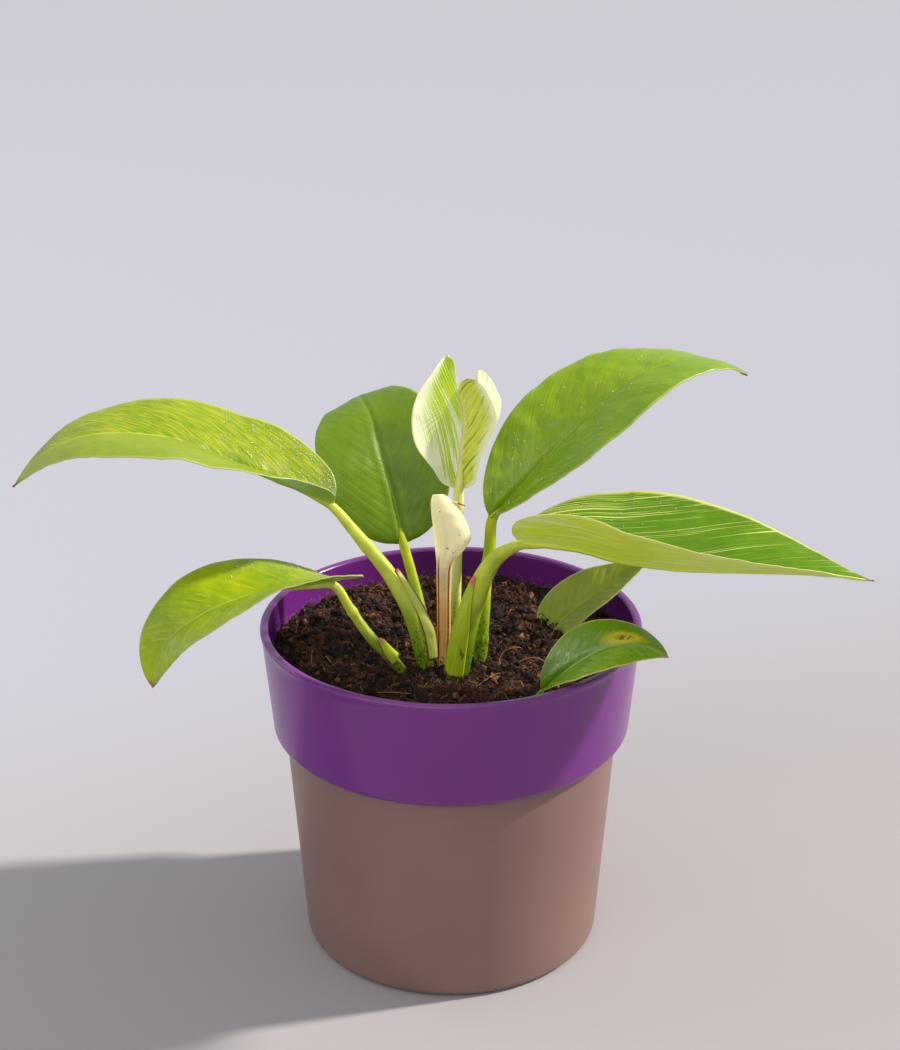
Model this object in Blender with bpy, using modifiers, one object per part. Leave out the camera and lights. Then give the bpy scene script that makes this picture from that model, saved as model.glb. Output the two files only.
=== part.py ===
"""A potted philodendron: a two-tone nested pot, its potting mix and eight separate leaves on their stalks.

Metres, +Z up. The origin is the centre of the pot's flat base. Leaf and stalk shapes are given in
millimetres in the plant's own frame: its origin is on the pot's axis at the level of the mix.
"""

import math
from dataclasses import dataclass, replace

import bmesh
import bpy
import numpy as np
from mathutils import Vector

MM = 0.001

# Pot
RIM_RADIUS = 55.0 * MM          # outside of the collar at the top
POT_HEIGHT = 100.0 * MM
COLLAR_HEIGHT = 33.0 * MM       # depth of the coloured band below the rim
COLLAR_TAPER = 2.7 * MM         # how much narrower the band is at its lower edge
COLLAR_STEP = 3.5 * MM          # band's lower edge to the outer pot's wall, radially
BODY_TAPER = 4.9 * MM           # outer pot, band edge to base
WALL = 2.2 * MM                 # inner pot
OUTER_WALL = 2.0 * MM           # outer pot
FLOOR = 2.5 * MM                # both floors
LIP_BEAD = 0.3 * MM             # how far the rounded lip stands out
LIP_HEIGHT = 1.6 * MM
EDGE_ROUND = 2.6 * MM           # lower corner of the band and of the base
GAP = 0.3 * MM                  # between neighbouring pieces

# Potting mix
MIX_DEPTH_BELOW_RIM = 8.0 * MM
MIX_DISH = 2.0 * MM             # the surface dips this much from the wall to the crown

# Plant
PLANT_SCALE = RIM_RADIUS / (55.0 * MM)
BLADE_THICKNESS = 0.8 * MM
SHEATH_THICKNESS = 0.5 * MM
STALK_GAP = 1.3                 # millimetres of each stalk left off below its blade
TURN_STEPS = 48
BLADE_ROWS = 14
BLADE_COLUMNS = 3               # each side of the midrib
STALK_SIDES = 2                 # bevel resolution of a stalk

MIX_LEVEL = POT_HEIGHT - MIX_DEPTH_BELOW_RIM


@dataclass(frozen=True)
class Blade:
    """One leaf blade, as a midrib in space with a half sheet on each side of it."""

    midrib: tuple                # points from the stalk to the tip
    half_width: float            # at the widest
    faces: tuple                 # way the upper side faces at base, middle and tip
    right: tuple                 # rise of the right half above flat, degrees, at base, middle and tip
    left: tuple
    curl: tuple = (0, 0, 0)      # further turn from midrib to margin, degrees
    lobe: float = 2.0            # how far the base reaches back past the stalk
    base_power: float = 0.75     # how full the outline is near the base
    tip_power: float = 0.95      # and near the tip


@dataclass(frozen=True)
class Stalk:
    """A round stalk, swelling or thinning along its line."""

    line: tuple
    radii: tuple


@dataclass(frozen=True)
class Sheath:
    """A thin open channel that wraps part of the way round a line."""

    line: tuple
    radii: tuple
    spread: tuple                # half angle of the wrap, degrees
    faces: tuple                 # direction the closed side faces at base, middle and tip


BLADES = {
    "upper_left_blade": Blade(
        midrib=((-33.4, -8, 47.7), (-56, -10, 58.5), (-79, -13, 69), (-104, -17, 69), (-119, -20, 57)),
        half_width=20, faces=((0, 0, 1), (0, 0, 1), (0, 0, 1)), right=(54, 22, -6), left=(40, 8, -14),
        curl=(-8, -12, -5), lobe=4, tip_power=1.05),
    "lower_left_blade": Blade(
        midrib=((-33.3, -23, 30.3), (-56, -27, 27.5), (-71, -33, 22.5), (-79, -35, 15), (-82, -36, 4)),
        half_width=15, faces=((0, 0.1, 1), (-0.1, 0, 1), (-0.7, -0.6, 0.3)), right=(-4, 36, 10),
        left=(20, 11, 0), curl=(-8, -8, -5), lobe=12, tip_power=0.85),
    "back_left_blade": Blade(
        midrib=((-14.2, 20, 24), (-17.5, 25, 38), (-21, 30, 49), (-24, 38, 57), (-28, 50, 59), (-30, 60, 53)),
        half_width=19.5, faces=((0.1, -1, 0.3), (0, -0.6, 1), (0, 0, 1)), right=(8, 15, 10),
        left=(12, 10, -40), curl=(-15, -10, -20), lobe=1, base_power=0.6),
    "new_leaf_blade": Blade(
        midrib=((2.3, 2, 48.3), (3.5, 3, 60), (4.6, 6, 69), (6, 12, 73), (9, 20, 71)),
        half_width=15.5, faces=((0, -1, 0.1), (0, -0.7, 0.7), (0, 0, 1)), right=(25, 52, 15),
        left=(5, 8, 75), curl=(0, 10, 0), lobe=1, base_power=0.9, tip_power=0.7),
    "upper_right_blade": Blade(
        midrib=((11.7, 2, 38.8), (24, 5, 52), (37, 9, 65), (49, 13, 75), (63, 18, 80), (77, 22, 79), (86, 25, 74)),
        half_width=19, faces=((-0.25, -0.64, 0.73), (-0.2, -0.6, 0.8), (0, -0.3, 1)), right=(50, 33, 25),
        left=(40, -4, -35), curl=(-10, -10, -10)),
    "striped_blade": Blade(
        midrib=((19.2, -22, 41.1), (35, -24, 39.8), (47, -26, 37.1), (64, -28, 35.5), (81, -30, 35.8),
                (100, -32, 35.7), (114, -34, 34.8)),
        half_width=22.5, faces=((0, 0, 1), (0, 0, 1), (0, 0, 1)), right=(47, 34, 29), left=(8, 47, 8),
        lobe=8, tip_power=1.15),
    "back_right_blade": Blade(
        midrib=((28, 14, -4), (34, 14, 2), (42, 14, 9), (50, 15, 14), (58, 16, 19)),
        half_width=10, faces=((-0.3, -0.6, 0.7), (-0.3, -0.6, 0.7), (-0.3, -0.6, 0.7)), right=(30, 35, 40),
        left=(5, 5, 5), lobe=0, base_power=0.35, tip_power=0.8),
    "front_right_blade": Blade(
        midrib=((25, -34.5, 1.6), (32, -35.5, 9.2), (40, -36, 14.8), (50.7, -36, 17), (59, -37, 13.5)),
        half_width=9.5, faces=((-0.3, -0.6, 0.8), (-0.1, -0.5, 0.9), (0.2, -0.3, 1)), right=(50, 28, -5),
        left=(55, 15, 5), curl=(-10, -10, -10), lobe=1, base_power=1.0),
}

STALKS = {
    "upper_left_stalk": Stalk(
        ((-6.9, -11.3, -8), (-7, -11.3, -2), (-8.4, -12, 5), (-10.5, -12.2, 13.4), (-14.2, -12, 22), (-19.3, -11, 30),
         (-26, -10, 38.3), (-33.2, -8, 46.4)),
        (2.6, 2.6, 2.5, 2.3, 2.1, 1.9, 1.6, 1.3)),
    "lower_left_stalk": Stalk(
        ((-13, -14.8, -8), (-13.6, -15, -2.5), (-17.9, -17, 4.7), (-21.7, -18.5, 9.8), (-25, -20, 15.4),
         (-28.3, -22, 22), (-32.4, -23, 29)),
        (1.7, 1.7, 1.6, 1.5, 1.4, 1.3, 1.2)),
    "back_left_stalk": Stalk(
        ((-5, 1.5, -8), (-5.2, 2.2, -2.5), (-8, 9, 4), (-11.2, 16, 13.8), (-14.2, 20, 24)),
        (1.5, 1.5, 1.5, 1.5, 1.4)),
    "new_leaf_stalk": Stalk(
        ((1.1, 0, -8), (1.1, 0, -2), (1.4, 0, 20), (2, 1, 38.6), (2.3, 2, 48.3)),
        (1.7, 1.7, 1.6, 1.5, 1.5)),
    "upper_right_stalk": Stalk(
        ((8, -9, -8), (8.3, -8.2, -2), (9.2, -6, 10.5), (9.9, -3, 21.7), (11, 0, 30), (11.9, 2, 38.6)),
        (1.9, 1.9, 1.8, 1.8, 1.7, 1.5)),
    "striped_stalk": Stalk(
        ((4, -15, -8), (4, -15, -1.5), (4, -15.6, 8.7), (5.6, -16.6, 18.5), (8.2, -17.6, 25), (12.4, -19, 32.4),
         (18.7, -21.8, 40.3)),
        (2.8, 2.8, 2.6, 2.4, 2.2, 1.8, 1.4)),
    "front_right_stalk": Stalk(((20, -31.5, -9), (22, -33, -4), (25, -34.5, 1.6)), (1.1, 1.1, 1.0)),
}

SHEATHS = {
    "upper_left_sheath": Sheath(
        ((-8.3, -12, 4.5), (-10.5, -12.2, 13.4), (-14.2, -12, 22)), (3.05, 2.95, 2.75), (60, 52, 18),
        ((0.9, -0.5, 0), (0.9, -0.5, 0.2), (0.8, -0.4, 0.4))),
    "lower_left_sheath": Sheath(
        ((-16.8, -16.5, 3.4), (-19.4, -17.6, 6.8), (-21.7, -18.5, 9.8)), (2.25, 2.15, 2.1), (70, 55, 15),
        ((0.6, -0.4, 0.5), (0.6, -0.4, 0.5), (0.6, -0.4, 0.5))),
    "striped_sheath": Sheath(
        ((4, -15.3, 2), (4.6, -16, 12), (7.6, -17.4, 24)), (3.35, 3.2, 2.85), (62, 55, 15),
        ((-0.8, -0.5, 0), (-0.8, -0.5, 0.1), (-0.8, -0.3, 0.5))),
    "cream_sheath": Sheath(
        ((-1.8, -10.8, -6), (-1.8, -10.8, 2), (-2, -10.8, 12), (-1.9, -10.6, 23), (-0.2, -10.4, 33), (-0.5, -10, 40),
         (-2.6, -9.4, 49)),
        (1.7, 1.7, 1.9, 2.3, 4.6, 4.6, 3.0), (80, 88, 70), ((0, -1, 0), (0.1, -1, 0), (0.2, -1, 0.1))),
}

PURPLE = (0.22, 0.04, 0.31)
TAUPE = (0.22, 0.14, 0.11)
SOIL = (0.07, 0.03, 0.015)
LEAF_GREEN = (0.17, 0.38, 0.02)
NEW_GREEN = (0.42, 0.55, 0.12)
OLIVE_GREEN = (0.12, 0.20, 0.03)
STALK_GREEN = (0.30, 0.42, 0.06)
CREAM = (0.70, 0.66, 0.35)
BLADE_COLOURS = {"new_leaf_blade": NEW_GREEN, "back_right_blade": OLIVE_GREEN}


def clear_scene():
    """Remove whatever the new file starts with."""
    for item in list(bpy.data.objects):
        bpy.data.objects.remove(item, do_unlink=True)


def new_collection(name):
    made = bpy.data.collections.new(name)
    bpy.context.scene.collection.children.link(made)
    return made


def new_material(name, colour, roughness):
    made = bpy.data.materials.new(name)
    made.use_nodes = True
    shader = made.node_tree.nodes["Principled BSDF"]
    shader.inputs["Base Color"].default_value = (*colour, 1.0)
    shader.inputs["Roughness"].default_value = roughness
    shader.inputs["Metallic"].default_value = 0.0
    return made


def new_object(name, mesh, group, colour=None, roughness=0.5):
    """Link a mesh as a named object, with a material of its own when a colour is given."""
    made = bpy.data.objects.new(name, mesh)
    group.objects.link(made)
    if colour is not None:
        mesh.materials.append(new_material(name, colour, roughness))
    return made


def add_modifier(item, kind, **settings):
    made = item.modifiers.new(kind.title(), kind)
    for key, value in settings.items():
        setattr(made, key, value)
    return made


def shade(item, angle=math.radians(38)):
    item.data.shade_smooth()
    item.data.set_sharp_from_angle(angle=angle)


def hide_cutter(item):
    item.hide_render = True
    item.display_type = "WIRE"


def corner(radius, height, size, start, end, steps=3):
    """Points round a quarter circle whose centre is at (radius, height), from one angle to another."""
    angles = [math.radians(start + (end - start) * i / steps) for i in range(steps + 1)]
    return [(radius + size * math.cos(a), height + size * math.sin(a)) for a in angles]


def turned(name, profile, group, colour, roughness):
    """Turn a profile of (radius, height) about the pot's axis."""
    mesh = bpy.data.meshes.new(name)
    points = [(r, 0.0, z) for r, z in profile]
    mesh.from_pydata(points, [(i, i + 1) for i in range(len(points) - 1)], [])
    item = new_object(name, mesh, group, colour, roughness)
    add_modifier(item, "SCREW", axis="Z", angle=math.tau, steps=TURN_STEPS, render_steps=TURN_STEPS,
                 use_merge_vertices=True, merge_threshold=1e-5, use_smooth_shade=True)
    return item


def path(points, count):
    """Smooth curve through the points, resampled to count + 1 evenly spaced ones, and its length."""
    given = np.array(points, float)
    steps = np.linalg.norm(np.diff(given, axis=0), axis=1) ** 0.5
    at = np.concatenate([[0.0], np.cumsum(steps)])
    slope = np.gradient(given, at, axis=0, edge_order=2)
    fine_at = np.linspace(0.0, at[-1], 40 * len(given))
    i = np.clip(np.searchsorted(at, fine_at, side="right") - 1, 0, len(given) - 2)
    span = (at[i + 1] - at[i])[:, None]
    k = (fine_at - at[i])[:, None] / span
    fine = ((2 * k**3 - 3 * k**2 + 1) * given[i] + (k**3 - 2 * k**2 + k) * span * slope[i]
            + (3 * k**2 - 2 * k**3) * given[i + 1] + (k**3 - k**2) * span * slope[i + 1])
    run = np.concatenate([[0.0], np.cumsum(np.linalg.norm(np.diff(fine, axis=0), axis=1))])
    wanted = np.linspace(0.0, run[-1], count + 1)
    return np.stack([np.interp(wanted, run, fine[:, axis]) for axis in range(3)], axis=1), run[-1]


def unit(vectors):
    return vectors / np.linalg.norm(vectors, axis=-1, keepdims=True)


def through(values, k):
    """The parabola that passes through three values at k = 0, 0.5 and 1."""
    first, middle, last = (np.asarray(value, float) for value in values)
    k = k[:, None] if first.ndim else k
    return first * (1 - k) * (1 - 2 * k) + 4 * middle * k * (1 - k) + last * k * (2 * k - 1)


def to_world(points):
    """Plant millimetres to metres in the pot's frame."""
    return np.asarray(points, float) * MM * PLANT_SCALE + np.array([0.0, 0.0, MIX_LEVEL])


def blade_points(blade):
    """Rows of points across the blade, from the base to the tip."""
    samples = 200
    line, length = path(blade.midrib, samples)
    tangents = unit(np.gradient(line, axis=0))
    v = (1 - np.cos(np.linspace(0.0, math.pi, BLADE_ROWS + 1))) / 2
    widest = blade.base_power / (blade.base_power + blade.tip_power)
    peak = widest**blade.base_power * (1 - widest)**blade.tip_power
    margin_x = blade.half_width * v**blade.base_power * (1 - v)**blade.tip_power / peak
    notch = np.clip(1 - margin_x / (0.45 * blade.half_width), 0, 1)**1.5 * (v < widest)
    margin_y = -blade.lobe + (length + blade.lobe) * v + blade.lobe * notch
    middle_y = length * v**1.15
    rows = np.zeros((BLADE_ROWS + 1, 2 * BLADE_COLUMNS + 1, 3))
    for column, t in enumerate(np.linspace(-1.0, 1.0, 2 * BLADE_COLUMNS + 1)):
        x = margin_x * abs(t)
        y = middle_y + (margin_y - middle_y) * abs(t)**1.6
        k = np.clip(y / length, 0.0, 1.0)
        here = np.stack([np.interp(k * samples, np.arange(samples + 1), line[:, a]) for a in range(3)], axis=1)
        along = unit(np.stack([np.interp(k * samples, np.arange(samples + 1), tangents[:, a]) for a in range(3)], axis=1))
        here = here + along * np.minimum(y, 0.0)[:, None]
        up = through(blade.faces, k)
        normal = unit(up - (up * along).sum(axis=1)[:, None] * along)
        side = np.cross(along, normal)
        rise = np.radians(through(blade.right if t > 0 else blade.left, k))
        bend = np.radians(through(blade.curl, k)) / blade.half_width + 1e-9
        out = (np.sin(rise + bend * x) - np.sin(rise)) / bend
        lift = (np.cos(rise) - np.cos(rise + bend * x)) / bend
        rows[:, column] = here + side * (np.sign(t) * out)[:, None] + normal * lift[:, None]
    return to_world(rows)


def sheath_points(sheath, rows=10, columns=6):
    """Rows of points round the channel, from its foot to its top."""
    line, _ = path(sheath.line, rows)
    along = unit(np.gradient(line, axis=0))
    k = np.linspace(0.0, 1.0, rows + 1)
    radius = np.interp(k, np.linspace(0.0, 1.0, len(sheath.radii)), sheath.radii)
    spread = np.radians(through(sheath.spread, k))
    front = through(sheath.faces, k)
    front = unit(front - (front * along).sum(axis=1)[:, None] * along)
    side = np.cross(along, front)
    angles = np.linspace(-1.0, 1.0, columns + 1)[None, :] * spread[:, None]
    ring = front[:, None, :] * np.cos(angles)[..., None] + side[:, None, :] * np.sin(angles)[..., None]
    return to_world(line[:, None, :] + ring * radius[:, None, None])


def sheet(name, rows, thickness, group, colour=None, roughness=0.4):
    """A thin solid leaf or sheath over a grid of points."""
    down, across = rows.shape[0], rows.shape[1]
    work = bmesh.new()
    bmesh.ops.create_grid(work, x_segments=across - 1, y_segments=down - 1, size=1.0)
    for vertex in work.verts:
        column = round((vertex.co.x + 1) / 2 * (across - 1))
        row = round((vertex.co.y + 1) / 2 * (down - 1))
        vertex.co = Vector(rows[row, column])
    bmesh.ops.remove_doubles(work, verts=work.verts, dist=1e-5)
    mesh = bpy.data.meshes.new(name)
    work.to_mesh(mesh)
    work.free()
    item = new_object(name, mesh, group, colour, roughness)
    add_modifier(item, "SOLIDIFY", thickness=thickness, offset=0.0)
    shade(item)
    return item


def tube(name, stalk, group, colour=None, grow=0.0, trim=0.0):
    """A capped round tube along the stalk's line.

    grow is added to the radius and to the foot; trim is left off the top. Both are in metres.
    """
    count = 4 * (len(stalk.line) - 1)
    line, length = path(stalk.line, count)
    radii = np.interp(np.linspace(0, 1, count + 1), np.linspace(0, 1, len(stalk.radii)), stalk.radii)
    points = to_world(line)
    points[0] += Vector(points[0] - points[1]).normalized() * grow
    points[-1] += Vector(points[-2] - points[-1]).normalized() * trim
    curve = bpy.data.curves.new(name, "CURVE")
    curve.dimensions = "3D"
    curve.bevel_depth = MM
    curve.bevel_resolution = STALK_SIDES
    curve.use_fill_caps = True
    spline = curve.splines.new("POLY")
    spline.points.add(count)
    for point, place, radius in zip(spline.points, points, radii):
        point.co = (*place, 1.0)
        point.radius = radius * PLANT_SCALE + grow / MM
    temporary = bpy.data.objects.new(name + "_line", curve)
    group.objects.link(temporary)
    mesh = bpy.data.meshes.new_from_object(temporary.evaluated_get(bpy.context.evaluated_depsgraph_get()))
    bpy.data.objects.remove(temporary, do_unlink=True)
    mesh.name = name
    work = bmesh.new()
    work.from_mesh(mesh)
    bmesh.ops.remove_doubles(work, verts=work.verts, dist=1e-5)
    work.to_mesh(mesh)
    work.free()
    item = new_object(name, mesh, group, colour, 0.4)
    shade(item)
    return item


def build_pot(group):
    """The taupe outer pot, and the purple inner pot whose collar laps over its rim."""
    band_bottom = POT_HEIGHT - COLLAR_HEIGHT
    band_radius = RIM_RADIUS - COLLAR_TAPER
    body_radius = band_radius - COLLAR_STEP
    base_radius = body_radius - BODY_TAPER
    slope = BODY_TAPER / band_bottom
    outer_top = band_bottom + 1.5 * MM

    def outer_at(z):
        return base_radius + slope * z

    inside = OUTER_WALL
    outer = [(0.0, FLOOR), (outer_at(FLOOR) - inside - 1.5 * MM, FLOOR), (outer_at(FLOOR) - inside, FLOOR + 1.5 * MM),
             (outer_at(outer_top) - inside, outer_top - 0.4 * MM), (outer_at(outer_top) - inside + 0.4 * MM, outer_top),
             (outer_at(outer_top) - 0.4 * MM, outer_top), (outer_at(outer_top), outer_top - 0.4 * MM)]
    outer += corner(outer_at(EDGE_ROUND) - EDGE_ROUND, EDGE_ROUND, EDGE_ROUND, 0, -90, 4)
    outer += [(0.0, 0.0)]
    turned("outer_pot", outer, group, TAUPE, 0.35)

    shoulder = outer_top + GAP
    foot = FLOOR + GAP

    def body_at(z):
        return outer_at(z) - OUTER_WALL - GAP

    inner_floor = foot + FLOOR
    lip = POT_HEIGHT - LIP_HEIGHT
    rim_inside = RIM_RADIUS - WALL
    collar_slope = COLLAR_TAPER / (COLLAR_HEIGHT - LIP_HEIGHT)
    shelf = shoulder + WALL
    collar_inside = rim_inside - collar_slope * (lip - shelf)
    skirt_inside = outer_at(band_bottom) + GAP
    inner = [(0.0, inner_floor), (body_at(inner_floor) - WALL - 1.2 * MM, inner_floor),
             (body_at(inner_floor) - WALL, inner_floor + 1.2 * MM), (body_at(shoulder) - WALL, shelf),
             (collar_inside - 1.0 * MM, shelf), (collar_inside, shelf + 1.0 * MM), (rim_inside, lip)]
    inner += [(rim_inside + 0.1 * MM, POT_HEIGHT - 0.5 * MM), (rim_inside + 0.7 * MM, POT_HEIGHT),
              (RIM_RADIUS - 0.5 * MM, POT_HEIGHT), (RIM_RADIUS + LIP_BEAD, POT_HEIGHT - 0.6 * MM),
              (RIM_RADIUS + LIP_BEAD, lip + 0.3 * MM), (RIM_RADIUS, lip)]
    inner += corner(band_radius - EDGE_ROUND, band_bottom + EDGE_ROUND, EDGE_ROUND, 0, -90, 4)
    inner += [(skirt_inside + 0.2 * MM, band_bottom), (skirt_inside + 0.2 * MM, shoulder - 0.3 * MM),
              (skirt_inside - 0.1 * MM, shoulder), (body_at(shoulder) + 0.1 * MM, shoulder),
              (body_at(shoulder) - 0.1 * MM, shoulder - 0.4 * MM),
              (body_at(foot) - 0.2 * MM, foot + 1.6 * MM), (body_at(foot) - 1.9 * MM, foot), (0.0, foot)]
    turned("inner_pot", inner, group, PURPLE, 0.25)

    lower = body_at(inner_floor) - WALL - GAP
    upper = body_at(shoulder) - WALL - GAP
    at_level = rim_inside - collar_slope * MIX_DEPTH_BELOW_RIM - GAP
    dish = [(0.0, 1.0), (0.24, 0.95), (0.45, 0.6), (0.65, 0.2), (0.85, 0.0), (1.0, 0.25)]
    mix = [(at_level * r, MIX_LEVEL - MIX_DISH * fall) for r, fall in dish]
    mix += [(collar_inside - GAP, shelf + GAP + 1.2 * MM), (collar_inside - GAP - 1.2 * MM, shelf + GAP),
            (upper, shelf + GAP), (lower, inner_floor + 2.0 * MM), (lower - 1.6 * MM, inner_floor + GAP),
            (0.0, inner_floor + GAP)]
    return turned("potting_mix", mix, group, SOIL, 0.95)


def build_sockets(mix, cutters):
    """Open a close-fitting socket in the mix for every piece that stands in it."""
    for name, stalk in STALKS.items():
        cutter = tube(name + "_socket", stalk, cutters, grow=GAP)
        hide_cutter(cutter)
        add_modifier(mix, "BOOLEAN", operation="DIFFERENCE", solver="EXACT", object=cutter)
    blade = BLADES["back_right_blade"]
    start = np.array(blade.midrib[0], float)
    deeper = start + unit(start - np.array(blade.midrib[1], float)) * 0.8
    wider = replace(blade, midrib=(tuple(deeper), *blade.midrib[1:]), half_width=blade.half_width + 0.8)
    cutter = sheet("back_right_blade_socket", blade_points(wider), BLADE_THICKNESS + 2 * GAP, cutters)
    hide_cutter(cutter)
    add_modifier(mix, "BOOLEAN", operation="DIFFERENCE", solver="EXACT", object=cutter)
    sheath = SHEATHS["cream_sheath"]
    cutter = tube("cream_sheath_socket", Stalk(sheath.line[:3], sheath.radii[:3]), cutters,
                  grow=GAP + SHEATH_THICKNESS / 2)
    hide_cutter(cutter)
    add_modifier(mix, "BOOLEAN", operation="DIFFERENCE", solver="EXACT", object=cutter)


def main():
    clear_scene()
    plant = new_collection("potted_philodendron")
    cutters = new_collection("cutters")
    mix = build_pot(plant)
    for name, blade in BLADES.items():
        sheet(name, blade_points(blade), BLADE_THICKNESS, plant, BLADE_COLOURS.get(name, LEAF_GREEN), 0.35)
    for name, stalk in STALKS.items():
        tube(name, stalk, plant, STALK_GREEN, trim=STALK_GAP * MM)
    for name, sheath in SHEATHS.items():
        colour = CREAM if name == "cream_sheath" else STALK_GREEN
        sheet(name, sheath_points(sheath), SHEATH_THICKNESS, plant, colour, 0.45)
    build_sockets(mix, cutters)


main()
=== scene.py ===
"""Looks of the potted philodendron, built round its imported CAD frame.

Plant shapes are in millimetres in the plant's own frame: its origin lies on the pot's axis at the
level of the potting mix. Everything else is in metres, as the frame gives it.
"""

import logging
import math
from dataclasses import dataclass
from enum import Enum

import bmesh
import bpy
import numpy as np
from mathutils import Matrix, Vector


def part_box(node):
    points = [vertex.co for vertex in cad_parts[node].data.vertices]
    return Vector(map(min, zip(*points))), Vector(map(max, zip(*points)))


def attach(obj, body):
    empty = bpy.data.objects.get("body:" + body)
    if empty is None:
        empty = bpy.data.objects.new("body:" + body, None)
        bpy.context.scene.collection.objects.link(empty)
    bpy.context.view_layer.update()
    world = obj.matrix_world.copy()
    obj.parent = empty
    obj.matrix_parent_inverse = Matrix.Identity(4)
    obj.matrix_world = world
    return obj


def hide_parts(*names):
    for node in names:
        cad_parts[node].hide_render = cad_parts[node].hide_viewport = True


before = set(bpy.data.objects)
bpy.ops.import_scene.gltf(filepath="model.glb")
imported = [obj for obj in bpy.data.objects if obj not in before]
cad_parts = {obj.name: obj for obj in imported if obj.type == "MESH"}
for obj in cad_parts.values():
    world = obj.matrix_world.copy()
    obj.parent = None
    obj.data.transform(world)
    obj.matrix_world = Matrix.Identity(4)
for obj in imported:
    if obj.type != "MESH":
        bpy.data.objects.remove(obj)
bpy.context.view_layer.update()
LOG = logging.getLogger("philodendron")
MM = 0.001
VEIN_BEND = 0.016                    # how fast side veins turn forward, per square millimetre outward
Points = np.ndarray
Node = bpy.types.Node
Socket = bpy.types.NodeSocket
Tree = bpy.types.NodeTree


class Side(Enum):
    """Which half of a blade a sheet is, looking from its stalk to its tip."""

    RIGHT = 1
    LEFT = -1


class LampKind(Enum):
    """How a lamp throws its light."""

    SUN = "SUN"                      # alike everywhere, with crisp shadows
    PANEL = "AREA"                   # a square panel with soft shadows


def linear(code: str) -> tuple[float, float, float, float]:
    """Turns an sRGB hex colour to linear.

    Args:
        code: six hex digits with a leading hash.

    Returns:
        Linear red, green and blue, and an alpha of one.
    """
    parts = [int(code[i:i + 2], 16) / 255 for i in (1, 3, 5)]
    red, green, blue = (p / 12.92 if p <= 0.04045 else ((p + 0.055) / 1.055) ** 2.4 for p in parts)
    return red, green, blue, 1.0


def add(tree: Tree, kind: str, inputs: dict | tuple = (), stops: tuple = (), **settings) -> Node:
    """Adds a node with its settings and links.

    Args:
        tree: the material's node tree.
        kind: the node's type, without its "ShaderNode".
        inputs: what each socket holds, in order or by name or number: a number, a vector, a hex colour,
            a socket, or a node, whose first live output it takes.
        stops: a colour ramp's stops, as (place, hex colour): the lowest, the highest, then those between.
        **settings: the node's own properties.

    Returns:
        The new node.
    """
    made = tree.nodes.new("ShaderNode" + kind)
    for key, value in settings.items():
        setattr(made, key, value)
    for key, value in inputs.items() if isinstance(inputs, dict) else enumerate(inputs):
        if isinstance(value, Node):
            value = next(output for output in value.outputs if output.enabled)
        if isinstance(value, Socket):
            tree.links.new(value, made.inputs[key])
        else:
            made.inputs[key].default_value = linear(value) if isinstance(value, str) else value
    for number, (place, code) in enumerate(stops):
        ramp = made.color_ramp.elements
        stop = ramp[number] if number < 2 else ramp.new(place)
        stop.position, stop.color = place, linear(code)
    return made


def new_material(name: str) -> tuple[bpy.types.Material, Tree]:
    """Makes a material with an empty node tree.

    Args:
        name: the material's name.

    Returns:
        The material and its tree.
    """
    made = bpy.data.materials.new(name)
    made.use_nodes = True
    made.node_tree.nodes.clear()
    return made, made.node_tree


def value_noise(x: Points, y: Points, seed: int) -> Points:
    """Gives smooth random values over a plane.

    Args:
        x: first coordinate, in lattice cells.
        y: second coordinate, in lattice cells.
        seed: number of the pattern.

    Returns:
        A value from 0 to 1 for each point.
    """
    table = np.random.default_rng(seed).random((256, 256))
    xi, yi = np.floor(x).astype(int), np.floor(y).astype(int)
    fx, fy = x - xi, y - yi
    fx, fy = fx * fx * (3 - 2 * fx), fy * fy * (3 - 2 * fy)
    x0, x1, y0, y1 = xi & 255, (xi + 1) & 255, yi & 255, (yi + 1) & 255
    low = table[x0, y0] * (1 - fx) + table[x1, y0] * fx
    high = table[x0, y1] * (1 - fx) + table[x1, y1] * fx
    return low * (1 - fy) + high * fy


def rough_noise(x: Points, y: Points, size: float, octaves: int, seed: int) -> Points:
    """Gives layered random values over a plane.

    Args:
        x: first coordinate.
        y: second coordinate, in the same unit.
        size: width of the largest lumps, in that unit.
        octaves: how many layers, each of half the last one's size.
        seed: number of the pattern.

    Returns:
        A value from about -1 to 1 for each point.
    """
    x, y = np.broadcast_arrays(x, y)
    total, weight, span = np.zeros(x.shape), 0.0, 1.0
    for octave in range(octaves):
        scale = 2**octave / size
        total += span * (2 * value_noise(x * scale + 31.7, y * scale + 11.3, seed + octave) - 1)
        weight += span
        span *= 0.55
    return total / weight * 1.6


def drawn_between(rng: np.random.Generator, ends: tuple, power: float = 1.0,
                  count: int | None = None) -> Points:
    """Draws random numbers between two ends.

    Args:
        rng: what draws them.
        ends: the two ends.
        power: how strongly the numbers crowd towards the first end.
        count: how many to draw, or none for a single number.

    Returns:
        The numbers.
    """
    return ends[0] + (ends[1] - ends[0]) * rng.random(count) ** power


def unit(vectors: Points) -> Points:
    """Scales each vector to length one."""
    return vectors / np.maximum(np.linalg.norm(vectors, axis=-1, keepdims=True), 1e-12)


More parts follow.
